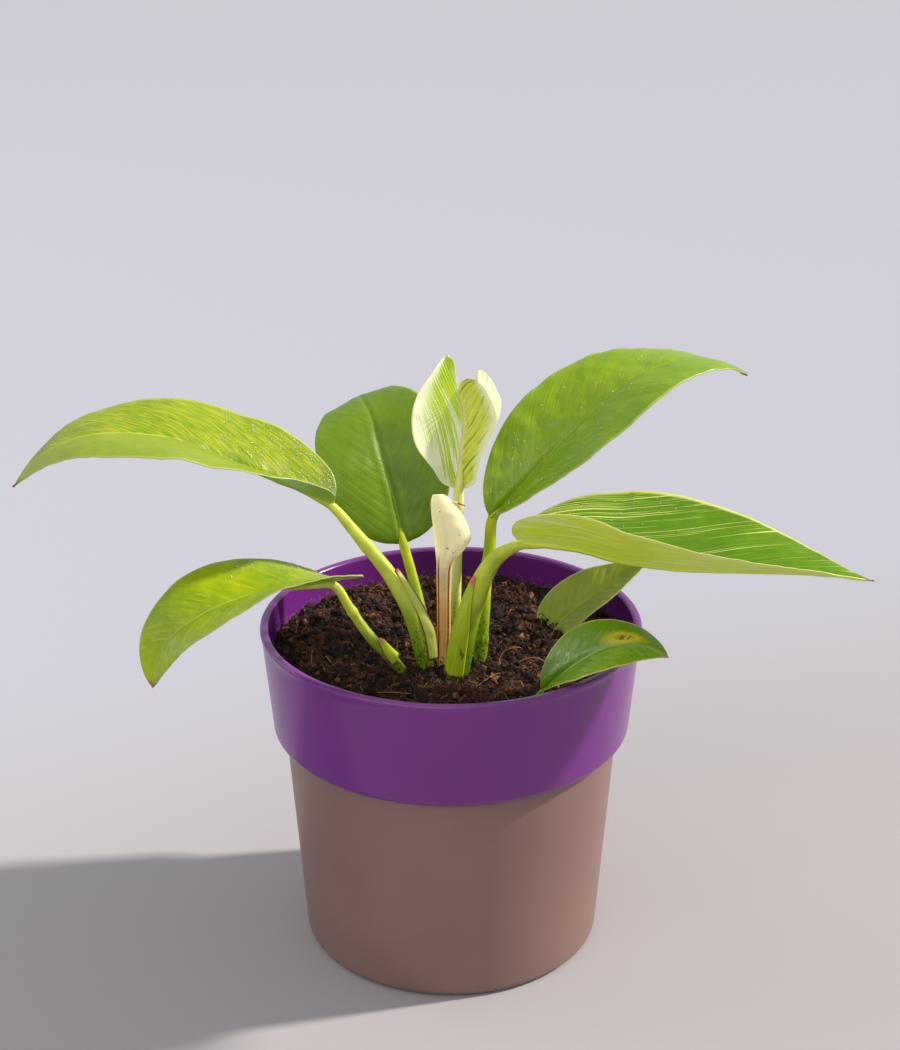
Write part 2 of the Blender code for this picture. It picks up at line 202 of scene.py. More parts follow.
def path(points: tuple, count: int) -> tuple[Points, float]:
    """Runs a smooth curve through a few points.

    Args:
        points: the points, in order.
        count: how many equal steps to cut the curve into.

    Returns:
        The count + 1 points along the curve, and its length.
    """
    given = np.array(points, float)
    steps = np.linalg.norm(np.diff(given, axis=0), axis=1) ** 0.5
    at = np.concatenate([[0.0], np.cumsum(steps)])
    slope = np.gradient(given, at, axis=0, edge_order=2)
    fine_at = np.linspace(0.0, at[-1], 60 * len(given))
    i = np.clip(np.searchsorted(at, fine_at, side="right") - 1, 0, len(given) - 2)
    span = (at[i + 1] - at[i])[:, None]
    k = (fine_at - at[i])[:, None] / span
    fine = ((2 * k**3 - 3 * k**2 + 1) * given[i] + (k**3 - 2 * k**2 + k) * span * slope[i]
            + (3 * k**2 - 2 * k**3) * given[i + 1] + (k**3 - k**2) * span * slope[i + 1])
    run = np.concatenate([[0.0], np.cumsum(np.linalg.norm(np.diff(fine, axis=0), axis=1))])
    wanted = np.linspace(0.0, run[-1], count + 1)
    return np.stack([np.interp(wanted, run, fine[:, axis]) for axis in range(3)], axis=1), float(run[-1])


def marks_along(points: Points) -> Points:
    """Gives each point's share of the way along the chords that join them."""
    steps = np.linalg.norm(np.diff(points, axis=0), axis=1)
    return np.concatenate([[0.0], np.cumsum(steps)]) / steps.sum()


def seed_of(name: str, below: int = 97) -> int:
    """Turns a name to the number of its pattern."""
    return sum(map(ord, name)) % below


def through(values: tuple, k: Points) -> Points:
    """Reads the parabola through three values.

    Args:
        values: the numbers or vectors at k = 0, 0.5 and 1.
        k: where to read it.

    Returns:
        The number or vector at each k.
    """
    first, middle, last = (np.asarray(value, float) for value in values)
    k = k[..., None] if first.ndim else k
    return first * (1 - k) * (1 - 2 * k) + 4 * middle * k * (1 - k) + last * k * (2 * k - 1)


MIX_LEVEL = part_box("potting_mix")[1][2]
MIX_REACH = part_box("potting_mix")[1][0]
POT_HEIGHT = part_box("inner_pot")[1][2]
LIP_BEAD = 0.3 * MM
RIM_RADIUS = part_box("inner_pot")[1][0] - LIP_BEAD
PLANT_SCALE = RIM_RADIUS / (55.0 * MM)


def to_world(points: Points) -> Points:
    """Turns plant millimetres to metres in the frame."""
    return np.asarray(points, float) * MM * PLANT_SCALE + np.array([0.0, 0.0, MIX_LEVEL])


def new_object(name: str, mesh: bpy.types.Mesh, node: str = "") -> bpy.types.Object:
    """Makes a piece that rides with the pot.

    Args:
        name: the piece's name.
        mesh: its mesh.
        node: the CAD node whose place it takes, if any.

    Returns:
        The new object.
    """
    made = bpy.data.objects.new(name, mesh)
    bpy.context.scene.collection.objects.link(made)
    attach(made, "root")
    if node:
        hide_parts(node)
    LOG.info("%s: %d faces", name, len(mesh.polygons))
    return made


def new_mesh(name: str, points: Points, faces: list, materials: list) -> bpy.types.Mesh:
    """Makes a smooth-shaded mesh.

    Args:
        name: the mesh's name.
        points: its points, in metres.
        faces: lists of point numbers.
        materials: its materials, in slot order.

    Returns:
        The mesh.
    """
    mesh = bpy.data.meshes.new(name)
    mesh.from_pydata(points.reshape(-1, 3).tolist(), [], faces)
    for material in materials:
        mesh.materials.append(material)
    mesh.shade_smooth()
    mesh.update()
    return mesh


def unit_ball() -> tuple[Points, Points]:
    """Makes a ball of radius one.

    Returns:
        Its points, and its triangles as point numbers.
    """
    work = bmesh.new()
    bmesh.ops.create_icosphere(work, subdivisions=2, radius=1.0)
    points = np.array([v.co[:] for v in work.verts])
    faces = np.array([[v.index for v in f.verts] for f in work.faces])
    work.free()
    return points, faces


def repeated(faces: Points, points: int, copies: int) -> list:
    """Numbers the faces of many copies of one shape.

    Args:
        faces: the shape's faces.
        points: how many points the shape has.
        copies: how many copies follow one another.

    Returns:
        Lists of point numbers.
    """
    return (faces[None] + (np.arange(copies) * points)[:, None, None]).reshape(-1, faces.shape[1]).tolist()


def share_map(across: Points, along: Points) -> Points:
    """Makes the "Place" map of a grid.

    Args:
        across: each column's share, from the left margin to the right.
        along: each row's share, from the base to the tip.

    Returns:
        Both shares, rows by columns by two.
    """
    return np.stack(np.broadcast_arrays(across[None, :], along[:, None]), -1)


def sheet_mesh(name: str, upper: Points, lower: Points, maps: dict, materials: list) -> bpy.types.Mesh:
    """Closes two grids of points into one thin solid.

    Args:
        name: the mesh's name.
        upper: points of the upper side, rows by columns by three, in metres.
        lower: points of the lower side.
        maps: UV map name to rows by columns by two.
        materials: one for both sides, or one for the upper side and one for the lower.

    Returns:
        The mesh.
    """
    rows, columns = upper.shape[:2]
    count = rows * columns
    index = np.arange(count).reshape(rows, columns)
    top = np.stack([index[:-1, :-1], index[:-1, 1:], index[1:, 1:], index[1:, :-1]], -1).reshape(-1, 4)
    ring = np.concatenate([index[0, :], index[1:, -1], index[-1, -2::-1], index[-2:0:-1, 0]])
    after = np.roll(ring, -1)
    side = np.stack([after, ring, ring + count, after + count], -1)
    faces = np.concatenate([top, top[:, ::-1] + count, side])
    mesh = new_mesh(name, np.stack([upper, lower]), faces.tolist(), materials)
    corners = faces.reshape(-1) % count
    for key, grid in maps.items():
        layer = mesh.uv_layers.new(name=key)
        layer.data.foreach_set("uv", grid.reshape(-1, 2)[corners].astype(np.float32).reshape(-1))
    slots = np.zeros(len(faces), np.int32)
    slots[len(top):2 * len(top)] = len(materials) - 1
    mesh.polygons.foreach_set("material_index", slots)
    return mesh


def tube_rings(line: Points, radii: Points, sides: int) -> Points:
    """Puts rings of points round a line.

    Args:
        line: points along the middle.
        radii: a radius for each of them.
        sides: how many points in a ring.

    Returns:
        Points, rings by sides by three.
    """
    along = unit(np.gradient(line, axis=0))
    front = np.tile(np.array([0.05, -1.0, 0.12]), (len(line), 1))
    front = unit(front - (front * along).sum(axis=1)[:, None] * along)
    side = np.cross(along, front)
    angles = np.linspace(0, 2 * math.pi, sides, endpoint=False)
    ring = side[:, None] * np.cos(angles)[:, None] + front[:, None] * np.sin(angles)[:, None]
    return line[:, None] + ring * radii[:, None, None]


def tube_faces(rings: int, sides: int, first: int = 0) -> list:
    """Numbers the faces of a capped tube.

    Args:
        rings: how many rings of points.
        sides: how many points in a ring.
        first: number of its first point.

    Returns:
        Lists of point numbers: the walls ring by ring, then the two caps.
    """
    index = np.arange(rings * sides).reshape(rings, sides) + first
    turned = np.roll(index, -1, axis=1)
    walls = np.stack([index[:-1], turned[:-1], turned[1:], index[1:]], -1).reshape(-1, 4)
    return walls.tolist() + [index[0, ::-1].tolist(), index[-1].tolist()]


@dataclass(frozen=True)
class MouldedPolypropylene:
    """Injection-moulded polypropylene: one even colour under soft, wide highlights.

    The mould's steel leaves a faint orange peel about 1.5 mm across, and handling leaves dull
    patches the size of a thumb. Mix thrown up by watering clings in specks to the wall above it.
    """

    name: str
    colour: str
    shade: str
    roughness: float
    peel_mm: float = 1.5
    patch_mm: float = 30.0
    dust: str = "#5c4034"
    dusty: bool = False              # whether specks of mix cling to it

    def material(self, wall_radius: float = 0.0) -> bpy.types.Material:
        """Builds the plastic.

        Args:
            wall_radius: radius in metres inside which specks of mix cling.

        Returns:
            The material.
        """
        made, tree = new_material(self.name)
        place = add(tree, "NewGeometry").outputs["Position"]
        patch = add(tree, "TexNoise", {"Vector": place, "Scale": 1 / (self.patch_mm * MM), "Detail": 3.0})
        colour = add(tree, "ValToRGB", {"Fac": patch}, ((0.35, self.shade), (0.65, self.colour)))
        peel = add(tree, "TexNoise", {"Vector": place, "Scale": 1 / (self.peel_mm * MM), "Detail": 1.5})
        drawn = add(tree, "Mapping", {"Vector": place, "Scale": (1.0, 1.0, 0.12)})
        scuffs = add(tree, "TexNoise", {"Vector": drawn, "Scale": 1 / (0.5 * MM), "Detail": 2.0})
        relief = add(tree, "Math", (scuffs, 0.12, peel), operation="MULTIPLY_ADD")
        bump = add(tree, "Bump", {"Height": relief, "Strength": 0.08, "Distance": 0.12 * MM})
        rough = add(tree, "MapRange", (patch, 0.35, 0.75, self.roughness - 0.04, self.roughness + 0.08))
        if self.dusty:
            part = add(tree, "SeparateXYZ", (place,))
            across = add(tree, "VectorMath", (place, (1.0, 1.0, 0.0)), operation="MULTIPLY")
            reach = add(tree, "VectorMath", (across,), operation="LENGTH")
            inside = add(tree, "MapRange", (reach, wall_radius - 0.6 * MM, wall_radius, 1.0, 0.0))
            low = add(tree, "MapRange", (part.outputs["Z"], MIX_LEVEL - 1.0 * MM, MIX_LEVEL + 5.5 * MM, 0.5,
                                         0.8))
            below = add(tree, "Math", (part.outputs["Z"], MIX_LEVEL - 3.0 * MM), operation="GREATER_THAN")
            grit = add(tree, "TexNoise", {"Vector": place, "Scale": 1 / (1.3 * MM), "Detail": 4.0,
                                          "Roughness": 0.7})
            above = add(tree, "Math", (grit, low), operation="SUBTRACT")
            specks = add(tree, "MapRange", (above, 0.0, 0.03))
            where = add(tree, "Math", (specks, inside), operation="MULTIPLY")
            where = add(tree, "Math", (where, below), operation="MULTIPLY")
            colour = add(tree, "Mix", {0: where, 6: colour, 7: self.dust}, data_type="RGBA")
            rough = add(tree, "Math", (where, 0.5, rough), operation="MULTIPLY_ADD", use_clamp=True)
        shader = add(tree, "BsdfPrincipled", {"Base Color": colour, "Roughness": rough, "Normal": bump,
                                              "IOR": 1.49, "Subsurface Weight": 0.05,
                                              "Subsurface Scale": 1.2 * MM})
        add(tree, "OutputMaterial", {"Surface": shader})
        return made


@dataclass(frozen=True)
class Tissue:
    """Colours of one half of a blade: its ground, and the lighter streaks along its side veins."""

    dark: str
    mid: str
    light: str
    streaks: float = 0.35            # share of the ground that streaks cover
    streak_mm: float = 0.9
    streak_run_mm: float = 5.0
    stripe: str = "#e6e3ae"
    stripes: float = 0.0             # share of the ground that cream stripes cover
    stripe_mm: float = 1.3
    stripe_run_mm: float = 17.0
    veins: float = 0.15              # how clearly the side veins show
    margin: float = 0.035            # width of the margin as a share of the half
    fade_in: float = 0.0             # how much stripes thin out from the base to the tip
    outward: float = 0.0             # how much they crowd towards the margin


@dataclass(frozen=True)
class LeafCuticle:
    """Waxy cuticle over green tissue, grown as a thin blade.

    The wax gives a satin gloss that breaks up over the cells, light comes through the blade
    yellower than it went in, and side veins every few millimetres sweep forward to the margin.
    """

    name: str
    right: Tissue
    left: Tissue
    rib: str = "#a9cc5c"
    margin: str = "#c8bf7e"
    glow: str = "#b6e02a"
    tip: str = "#8a5a2c"
    vein_mm: float = 3.4
    lean: float = 0.9                # how far a side vein runs forward for each millimetre outward
    rib_mm: float = 0.55
    roughness: float = 0.36
    translucent: float = 0.2
    relief: float = 0.35
    wax: float = 0.12                # weight of the clear wax that glints over the satin gloss
    mottled: float = 0.45            # share of fine mottling in the changes of tone
    scorch: bool = False             # whether it has a dried patch

    def material(self) -> bpy.types.Material:
        """Builds the leaf from the maps "Blade" (decimetres) and "Place" (shares of the blade).

        Returns:
            The material.
        """
        made, tree = new_material(self.name)
        seed = float(seed_of(self.name, 89))
        blade = add(tree, "SeparateXYZ", (add(tree, "UVMap", uv_map="Blade"),))
        place = add(tree, "SeparateXYZ", (add(tree, "UVMap", uv_map="Place"),))
        x = add(tree, "Math", (blade.outputs["X"], 100.0, -50.0), operation="MULTIPLY_ADD")
        y = add(tree, "Math", (blade.outputs["Y"], 100.0), operation="MULTIPLY")
        out = add(tree, "Math", (x,), operation="ABSOLUTE")
        run = add(tree, "Math", (out, -self.lean, y), operation="MULTIPLY_ADD")
        bend = add(tree, "Math", (out, out), operation="MULTIPLY")
        run = add(tree, "Math", (bend, -VEIN_BEND, run), operation="MULTIPLY_ADD")
        flat = add(tree, "CombineXYZ", {"X": x, "Y": y, "Z": seed})
        broad = add(tree, "TexNoise", {"Vector": flat, "Scale": 1 / 13.0, "Detail": 3.0})
        mottle = add(tree, "TexNoise", {"Vector": flat, "Scale": 1 / 2.4, "Detail": 4.0, "Roughness": 0.65})
        broad = add(tree, "Mix", {0: self.mottled, 2: broad, 3: mottle}, data_type="FLOAT")
        cells = add(tree, "TexNoise", {"Vector": flat, "Scale": 1 / 0.5, "Detail": 2.0})
        wave = add(tree, "Math", (run, 0.5 * self.vein_mm), operation="PINGPONG")
        vein = add(tree, "MapRange", (wave, 0.0, 0.35, 1.0, 0.0), interpolation_type="SMOOTHSTEP")
        edge = add(tree, "Math", (place.outputs["X"], 0.5), operation="SUBTRACT")
        edge = add(tree, "Math", (edge,), operation="ABSOLUTE")
        halves = []
        for number, tissue in enumerate((self.left, self.right)):
            halves.append(self._half(tree, tissue, seed + 5.0 * number, (x, run, place.outputs["Y"]), broad,
                                     vein, edge))
        side = add(tree, "MapRange", (x, -0.2, 0.2))
        colour = add(tree, "Mix", {0: side, 6: halves[0][0], 7: halves[1][0]}, data_type="RGBA")
        streak = add(tree, "Mix", {0: side, 2: halves[0][1], 3: halves[1][1]}, data_type="FLOAT")
        middle = add(tree, "MapRange", (out, 0.4 * self.rib_mm, self.rib_mm, 0.85, 0.0),
                     interpolation_type="SMOOTHSTEP")
        fade = add(tree, "MapRange", (place.outputs["Y"], 0.45, 1.0, 1.0, 0.15))
        ribbed = add(tree, "Math", (middle, fade), operation="MULTIPLY")
        colour = add(tree, "Mix", {0: ribbed, 6: colour, 7: self.rib}, data_type="RGBA")
        if self.scorch:
            colour = self._scorched(tree, place, streak, colour)
        ending = add(tree, "MapRange", (place.outputs["Y"], 0.965, 0.99), interpolation_type="SMOOTHSTEP")
        colour = add(tree, "Mix", {0: ending, 6: colour, 7: self.tip}, data_type="RGBA")
        height = add(tree, "Math", (cells, 0.5, streak), operation="MULTIPLY_ADD")
        height = add(tree, "Math", (vein, -0.35, height), operation="MULTIPLY_ADD")
        bump = add(tree, "Bump", {"Height": height, "Strength": self.relief, "Distance": 0.25 * MM})
        rough = add(tree, "MapRange", (cells, 0.3, 0.7, self.roughness - 0.05, self.roughness + 0.09))
        shader = add(tree, "BsdfPrincipled", {"Base Color": colour, "Roughness": rough, "Normal": bump,
                                              "IOR": 1.43, "Specular IOR Level": 0.36,
                                              "Subsurface Weight": 0.08, "Subsurface Scale": 0.5 * MM,
                                              "Coat Weight": self.wax, "Coat Roughness": 0.16})
        lit = add(tree, "Mix", {0: 0.5, 6: colour, 7: self.glow}, data_type="RGBA")
        through_light = add(tree, "BsdfTranslucent", {"Color": lit, "Normal": bump})
        both = add(tree, "MixShader", (self.translucent, shader, through_light))
        add(tree, "OutputMaterial", {"Surface": both})
        return made

    def _half(self, tree: Tree, tissue: Tissue, seed: float, at: tuple, broad: Node, vein: Node,
              edge: Node) -> tuple[Node, Node]:
        """Colours one half of the blade.

        Args:
            tree: the material's tree.
            tissue: the half's colours.
            seed: number of its pattern.
            at: millimetres across, millimetres along the side veins' sweep, share of the length.
            broad: slow changes of tone.
            vein: one on a side vein, nought between.
            edge: distance from the midrib, as a share of the whole width.

        Returns:
            The colour, and the streaks that also stand in relief.
        """
        x, run, share = at
        across = add(tree, "Math", (run, 1 / tissue.streak_mm), operation="MULTIPLY")
        along = add(tree, "Math", (x, 1 / tissue.streak_run_mm), operation="MULTIPLY")
        drawn = add(tree, "CombineXYZ", {"X": across, "Y": along, "Z": seed})
        streak = add(tree, "TexNoise", {"Vector": drawn, "Scale": 1.0, "Detail": 3.0, "Roughness": 0.62})
        ground = add(tree, "MapRange", (broad, 0.35, 0.66))
        colour = add(tree, "Mix", {0: ground, 6: tissue.dark, 7: tissue.mid}, data_type="RGBA")
        start = 0.68 - 0.35 * tissue.streaks
        streaked = add(tree, "MapRange", (streak, start, start + 0.13, 0.0, 0.85))
        colour = add(tree, "Mix", {0: streaked, 6: colour, 7: tissue.light}, data_type="RGBA")
        veined = add(tree, "Math", (vein, tissue.veins), operation="MULTIPLY")
        colour = add(tree, "Mix", {0: veined, 6: colour, 7: self.rib}, data_type="RGBA")
        if tissue.stripes:
            across = add(tree, "Math", (run, 1 / tissue.stripe_mm), operation="MULTIPLY")
            along = add(tree, "Math", (x, 1 / tissue.stripe_run_mm), operation="MULTIPLY")
            drawn = add(tree, "CombineXYZ", {"X": across, "Y": along, "Z": seed + 20.0})
            band = add(tree, "TexNoise", {"Vector": drawn, "Scale": 1.0, "Detail": 1.5, "Roughness": 0.5})
            thin = add(tree, "MapRange", (share, 0.1, 0.9, tissue.fade_in, -tissue.fade_in))
            band = add(tree, "Math", (band, thin), operation="ADD")
            band = add(tree, "Math", (edge, tissue.outward, band), operation="MULTIPLY_ADD")
            start = 0.68 - 0.35 * tissue.stripes
            line = add(tree, "MapRange", (band, start, start + 0.035))
            colour = add(tree, "Mix", {0: line, 6: colour, 7: tissue.stripe}, data_type="RGBA")
        ragged = add(tree, "Math", (streak, 0.5 * tissue.margin, edge), operation="MULTIPLY_ADD")
        rim = add(tree, "MapRange", (ragged, 0.5 - 0.45 * tissue.margin, 0.5 + 0.05 * tissue.margin))
        colour = add(tree, "Mix", {0: rim, 6: colour, 7: self.margin}, data_type="RGBA")
        return colour, streak

    def _scorched(self, tree: Tree, place: Node, streak: Node, colour: Node) -> Node:
        """Adds a dried patch ringed with yellow, two thirds of the way to the tip.

        Args:
            tree: the material's tree.
            place: the separated map "Place".
            streak: the streaks of the tissue.
            colour: the colour so far.

        Returns:
            The colour with the patch.
        """
        at = add(tree, "CombineXYZ", {"X": place.outputs["X"], "Y": place.outputs["Y"]})
        gap = add(tree, "VectorMath", (at, (0.36, 0.72, 0.0)), operation="DISTANCE")
        gap = add(tree, "Math", (streak, 0.10, gap), operation="MULTIPLY_ADD")
        ring = add(tree, "MapRange", (gap, 0.13, 0.21, 0.9, 0.0))
        colour = add(tree, "Mix", {0: ring, 6: colour, 7: "#c6b22c"}, data_type="RGBA")
        dry = add(tree, "MapRange", (gap, 0.09, 0.12, 1.0, 0.0))
        torn = add(tree, "MapRange", (streak, 0.42, 0.55))
        patch = add(tree, "Math", (dry, torn), operation="MULTIPLY")
        return add(tree, "Mix", {0: patch, 6: colour, 7: "#3a2b14"}, data_type="RGBA")


@dataclass(frozen=True)
class StalkSkin:
    """Fleshy green skin, grown round a juicy stalk.

    It shines softly, glows a little where the light gets in, is finely ribbed along its length,
    and is darker and flecked with mix at the foot.
    """

    name: str
    light: str
    dark: str
    foot: str                        # colour where it leaves the mix
    roughness: float = 0.46
    ribs: float = 20.0               # ribs in a turn

    def material(self) -> bpy.types.Material:
        """Builds the skin from the map "Skin" (turns by decimetres).

        Returns:
            The material.
        """
        made, tree = new_material(self.name)
        skin = add(tree, "UVMap", uv_map="Skin")
        height = add(tree, "SeparateXYZ", (skin,)).outputs["Y"]
        place = add(tree, "NewGeometry").outputs["Position"]
        drawn = add(tree, "VectorMath", (skin, (self.ribs, 9.0, 1.0)), operation="MULTIPLY")
        ribs = add(tree, "TexNoise", {"Vector": drawn, "Scale": 1.0, "Detail": 2.0})
        patch = add(tree, "TexNoise", {"Vector": place, "Scale": 1 / (6 * MM), "Detail": 3.0})
        tone = add(tree, "MapRange", (patch, 0.35, 0.65))
        colour = add(tree, "Mix", {0: tone, 6: self.dark, 7: self.light}, data_type="RGBA")
        line = add(tree, "MapRange", (ribs, 0.5, 0.72, 0.0, 0.5))
        colour = add(tree, "Mix", {0: line, 6: colour, 7: self.light}, data_type="RGBA")
        low = add(tree, "MapRange", (height, 0.1, 0.4, 1.0, 0.0), interpolation_type="SMOOTHSTEP")
        colour = add(tree, "Mix", {0: low, 6: colour, 7: self.foot}, data_type="RGBA")
        grit = add(tree, "TexNoise", {"Vector": place, "Scale": 1 / (0.9 * MM), "Detail": 4.0,
                                      "Roughness": 0.75})
        near = add(tree, "MapRange", (height, 0.06, 0.3, 0.48, 0.68))
        over = add(tree, "Math", (grit, near), operation="SUBTRACT")
        flecks = add(tree, "MapRange", (over, 0.0, 0.03, 0.0, 0.9))
        colour = add(tree, "Mix", {0: flecks, 6: colour, 7: "#33200f"}, data_type="RGBA")
        bump = add(tree, "Bump", {"Height": ribs, "Strength": 0.25, "Distance": 0.2 * MM})
        shader = add(tree, "BsdfPrincipled", {"Base Color": colour, "Roughness": self.roughness,
                                              "Normal": bump, "IOR": 1.42, "Specular IOR Level": 0.28,
                                              "Subsurface Weight": 0.06, "Subsurface Scale": 1.5 * MM,
                                              "Subsurface Radius": (0.7, 1.0, 0.25)})
        add(tree, "OutputMaterial", {"Surface": shader})
        return made


@dataclass(frozen=True)
class SheathMembrane:
    """Thin papery sheath, grown round a stalk and torn open along its edges.

    It is pale and soft, lets light through, and reddens where it dries at the torn edge.
    """

    name: str
    body: str
    shade: str
    edge: str
    edge_share: float                # width of the red edge, as a share of the whole width
    red_tip: float = 0.97            # share of the length beyond which it is all red
    seams: bool = False              # whether red seams, specks and a pink lip mark it
    roughness: float = 0.46
    translucent: float = 0.2

    def material(self) -> bpy.types.Material:
        """Builds the membrane from the map "Place" (shares across and along).

        Returns:
            The material.
        """
        made, tree = new_material(self.name)
        share = add(tree, "UVMap", uv_map="Place")
        part = add(tree, "SeparateXYZ", (share,))
        place = add(tree, "NewGeometry").outputs["Position"]
        drawn = add(tree, "VectorMath", (share, (18.0, 2.2, 1.0)), operation="MULTIPLY")
        lines = add(tree, "TexNoise", {"Vector": drawn, "Scale": 1.0, "Detail": 3.0})
        tone = add(tree, "MapRange", (lines, 0.35, 0.65))
        colour = add(tree, "Mix", {0: tone, 6: self.shade, 7: self.body}, data_type="RGBA")
        out = add(tree, "Math", (part.outputs["X"], 0.5), operation="SUBTRACT")
        out = add(tree, "Math", (out,), operation="ABSOLUTE")
        wavy = add(tree, "Math", (lines, 0.3 * self.edge_share, out), operation="MULTIPLY_ADD")
        edge = add(tree, "MapRange", (wavy, 0.5 - 0.85 * self.edge_share, 0.5 - 0.35 * self.edge_share),
                   interpolation_type="SMOOTHSTEP")
        top = add(tree, "MapRange", (part.outputs["Y"], self.red_tip - 0.04, self.red_tip + 0.02),
                  interpolation_type="SMOOTHSTEP")
        red = add(tree, "Math", (edge, top), operation="MAXIMUM") if self.edge_share else top
        if self.seams:
            seam = add(tree, "Math", (part.outputs["X"], 0.22), operation="SUBTRACT")
            other = add(tree, "Math", (part.outputs["X"], 0.72), operation="SUBTRACT")
            seam = add(tree, "Math", (seam,), operation="ABSOLUTE")
            other = add(tree, "Math", (other,), operation="ABSOLUTE")
            near = add(tree, "Math", (seam, other), operation="MINIMUM")
            thin = add(tree, "MapRange", (near, 0.03, 0.065, 1.0, 0.0))
            below = add(tree, "MapRange", (part.outputs["Y"], 0.58, 0.66, 0.95, 0.0))
            seamed = add(tree, "Math", (thin, below), operation="MULTIPLY")
            red = add(tree, "Math", (seamed, red), operation="MAXIMUM")
            foot = add(tree, "MapRange", (part.outputs["Y"], 0.36, 0.68, 0.82, 0.0))
            colour = add(tree, "Mix", {0: foot, 6: colour, 7: "#d6a63c"}, data_type="RGBA")
            specks = add(tree, "TexNoise", {"Vector": place, "Scale": 1 / (1.5 * MM), "Detail": 3.0,
                                            "Roughness": 0.75})
            dots = add(tree, "MapRange", (specks, 0.665, 0.69))
            colour = add(tree, "Mix", {0: dots, 6: colour, 7: "#3c2c20"}, data_type="RGBA")
            smudge = add(tree, "MapRange", (part.outputs["Y"], 0.46, 0.52, 0.0, 0.35))
            clear = add(tree, "MapRange", (part.outputs["Y"], 0.55, 0.6, 1.0, 0.0))
            grey = add(tree, "Math", (smudge, clear), operation="MULTIPLY")
            colour = add(tree, "Mix", {0: grey, 6: colour, 7: "#a3a68f"}, data_type="RGBA")
            lip = add(tree, "MapRange", (part.outputs["X"], 0.955, 0.985))
            hood = add(tree, "MapRange", (part.outputs["Y"], 0.62, 0.68, 0.0, 0.8))
            flushed = add(tree, "Math", (lip, hood), operation="MULTIPLY")
            colour = add(tree, "Mix", {0: flushed, 6: colour, 7: "#b8606a"}, data_type="RGBA")
        colour = add(tree, "Mix", {0: red, 6: colour, 7: self.edge}, data_type="RGBA")
        bump = add(tree, "Bump", {"Height": lines, "Strength": 0.3, "Distance": 0.3 * MM})
        shader = add(tree, "BsdfPrincipled", {"Base Color": colour, "Roughness": self.roughness,
                                              "Normal": bump, "IOR": 1.42, "Subsurface Weight": 0.12,
                                              "Subsurface Scale": 0.8 * MM})
        through_light = add(tree, "BsdfTranslucent", {"Color": colour, "Normal": bump})
        both = add(tree, "MixShader", (self.translucent, shader, through_light))
        add(tree, "OutputMaterial", {"Surface": both})
        return made


@dataclass(frozen=True)
class CoirPeat:
    """Milled coconut fibre and peat: matt crumbs from near black to rust, with paler dry strands."""

    name: str
    dark: str
    mid: str
    light: str
    grain_mm: float = 1.2

    def material(self) -> bpy.types.Material:
        """Builds the mix from the point attribute "tone".

        Returns:
            The material.
        """
        made, tree = new_material(self.name)
        place = add(tree, "NewGeometry").outputs["Position"]
        tone = add(tree, "Attribute", attribute_name="tone").outputs["Fac"]
        grain = add(tree, "TexNoise", {"Vector": place, "Scale": 1 / (self.grain_mm * MM), "Detail": 6.0,
                                       "Roughness": 0.7})
        value = add(tree, "Math", (grain, 0.6, tone), operation="MULTIPLY_ADD")
        colour = add(tree, "ValToRGB", {"Fac": value},
                     ((0.3, self.dark), (0.95, self.light), (0.62, self.mid)))
        pores = add(tree, "TexVoronoi", {"Vector": place, "Scale": 1 / (0.9 * MM)})
        height = add(tree, "Math", (grain, pores), operation="ADD")
        bump = add(tree, "Bump", {"Height": height, "Strength": 1.0, "Distance": 0.9 * MM})
        shader = add(tree, "BsdfPrincipled", {"Base Color": colour, "Roughness": 0.92, "Normal": bump,
                                              "IOR": 1.4})
        add(tree, "OutputMaterial", {"Surface": shader})
        return made


@dataclass(frozen=True)
class WaterBead:
    """Clear water in small beads, which flash white where they catch the light, with painted white glints
    in their colour.
    """

    name: str = "clear water bead"

    def material(self) -> bpy.types.Material:
        """Builds the water.

        Returns:
            The material.
        """
        made, tree = new_material(self.name)
        place = add(tree, "NewGeometry").outputs["Position"]
        # Painted glints: the quarter of each bead that is not clear is coloured pale green to white, so it
        # reads white under any light.
        white_glint_mottle = add(tree, "TexNoise", {"Vector": place, "Scale": 1 / (2 * MM)})
        colour = add(tree, "Mix", {0: white_glint_mottle, 6: "#eaf3e0", 7: "#ffffff"}, data_type="RGBA")
        shader = add(tree, "BsdfPrincipled", {"Base Color": colour, "Roughness": 0.04, "IOR": 1.333,
                                              "Transmission Weight": 0.74})
        add(tree, "OutputMaterial", {"Surface": shader})
        return made


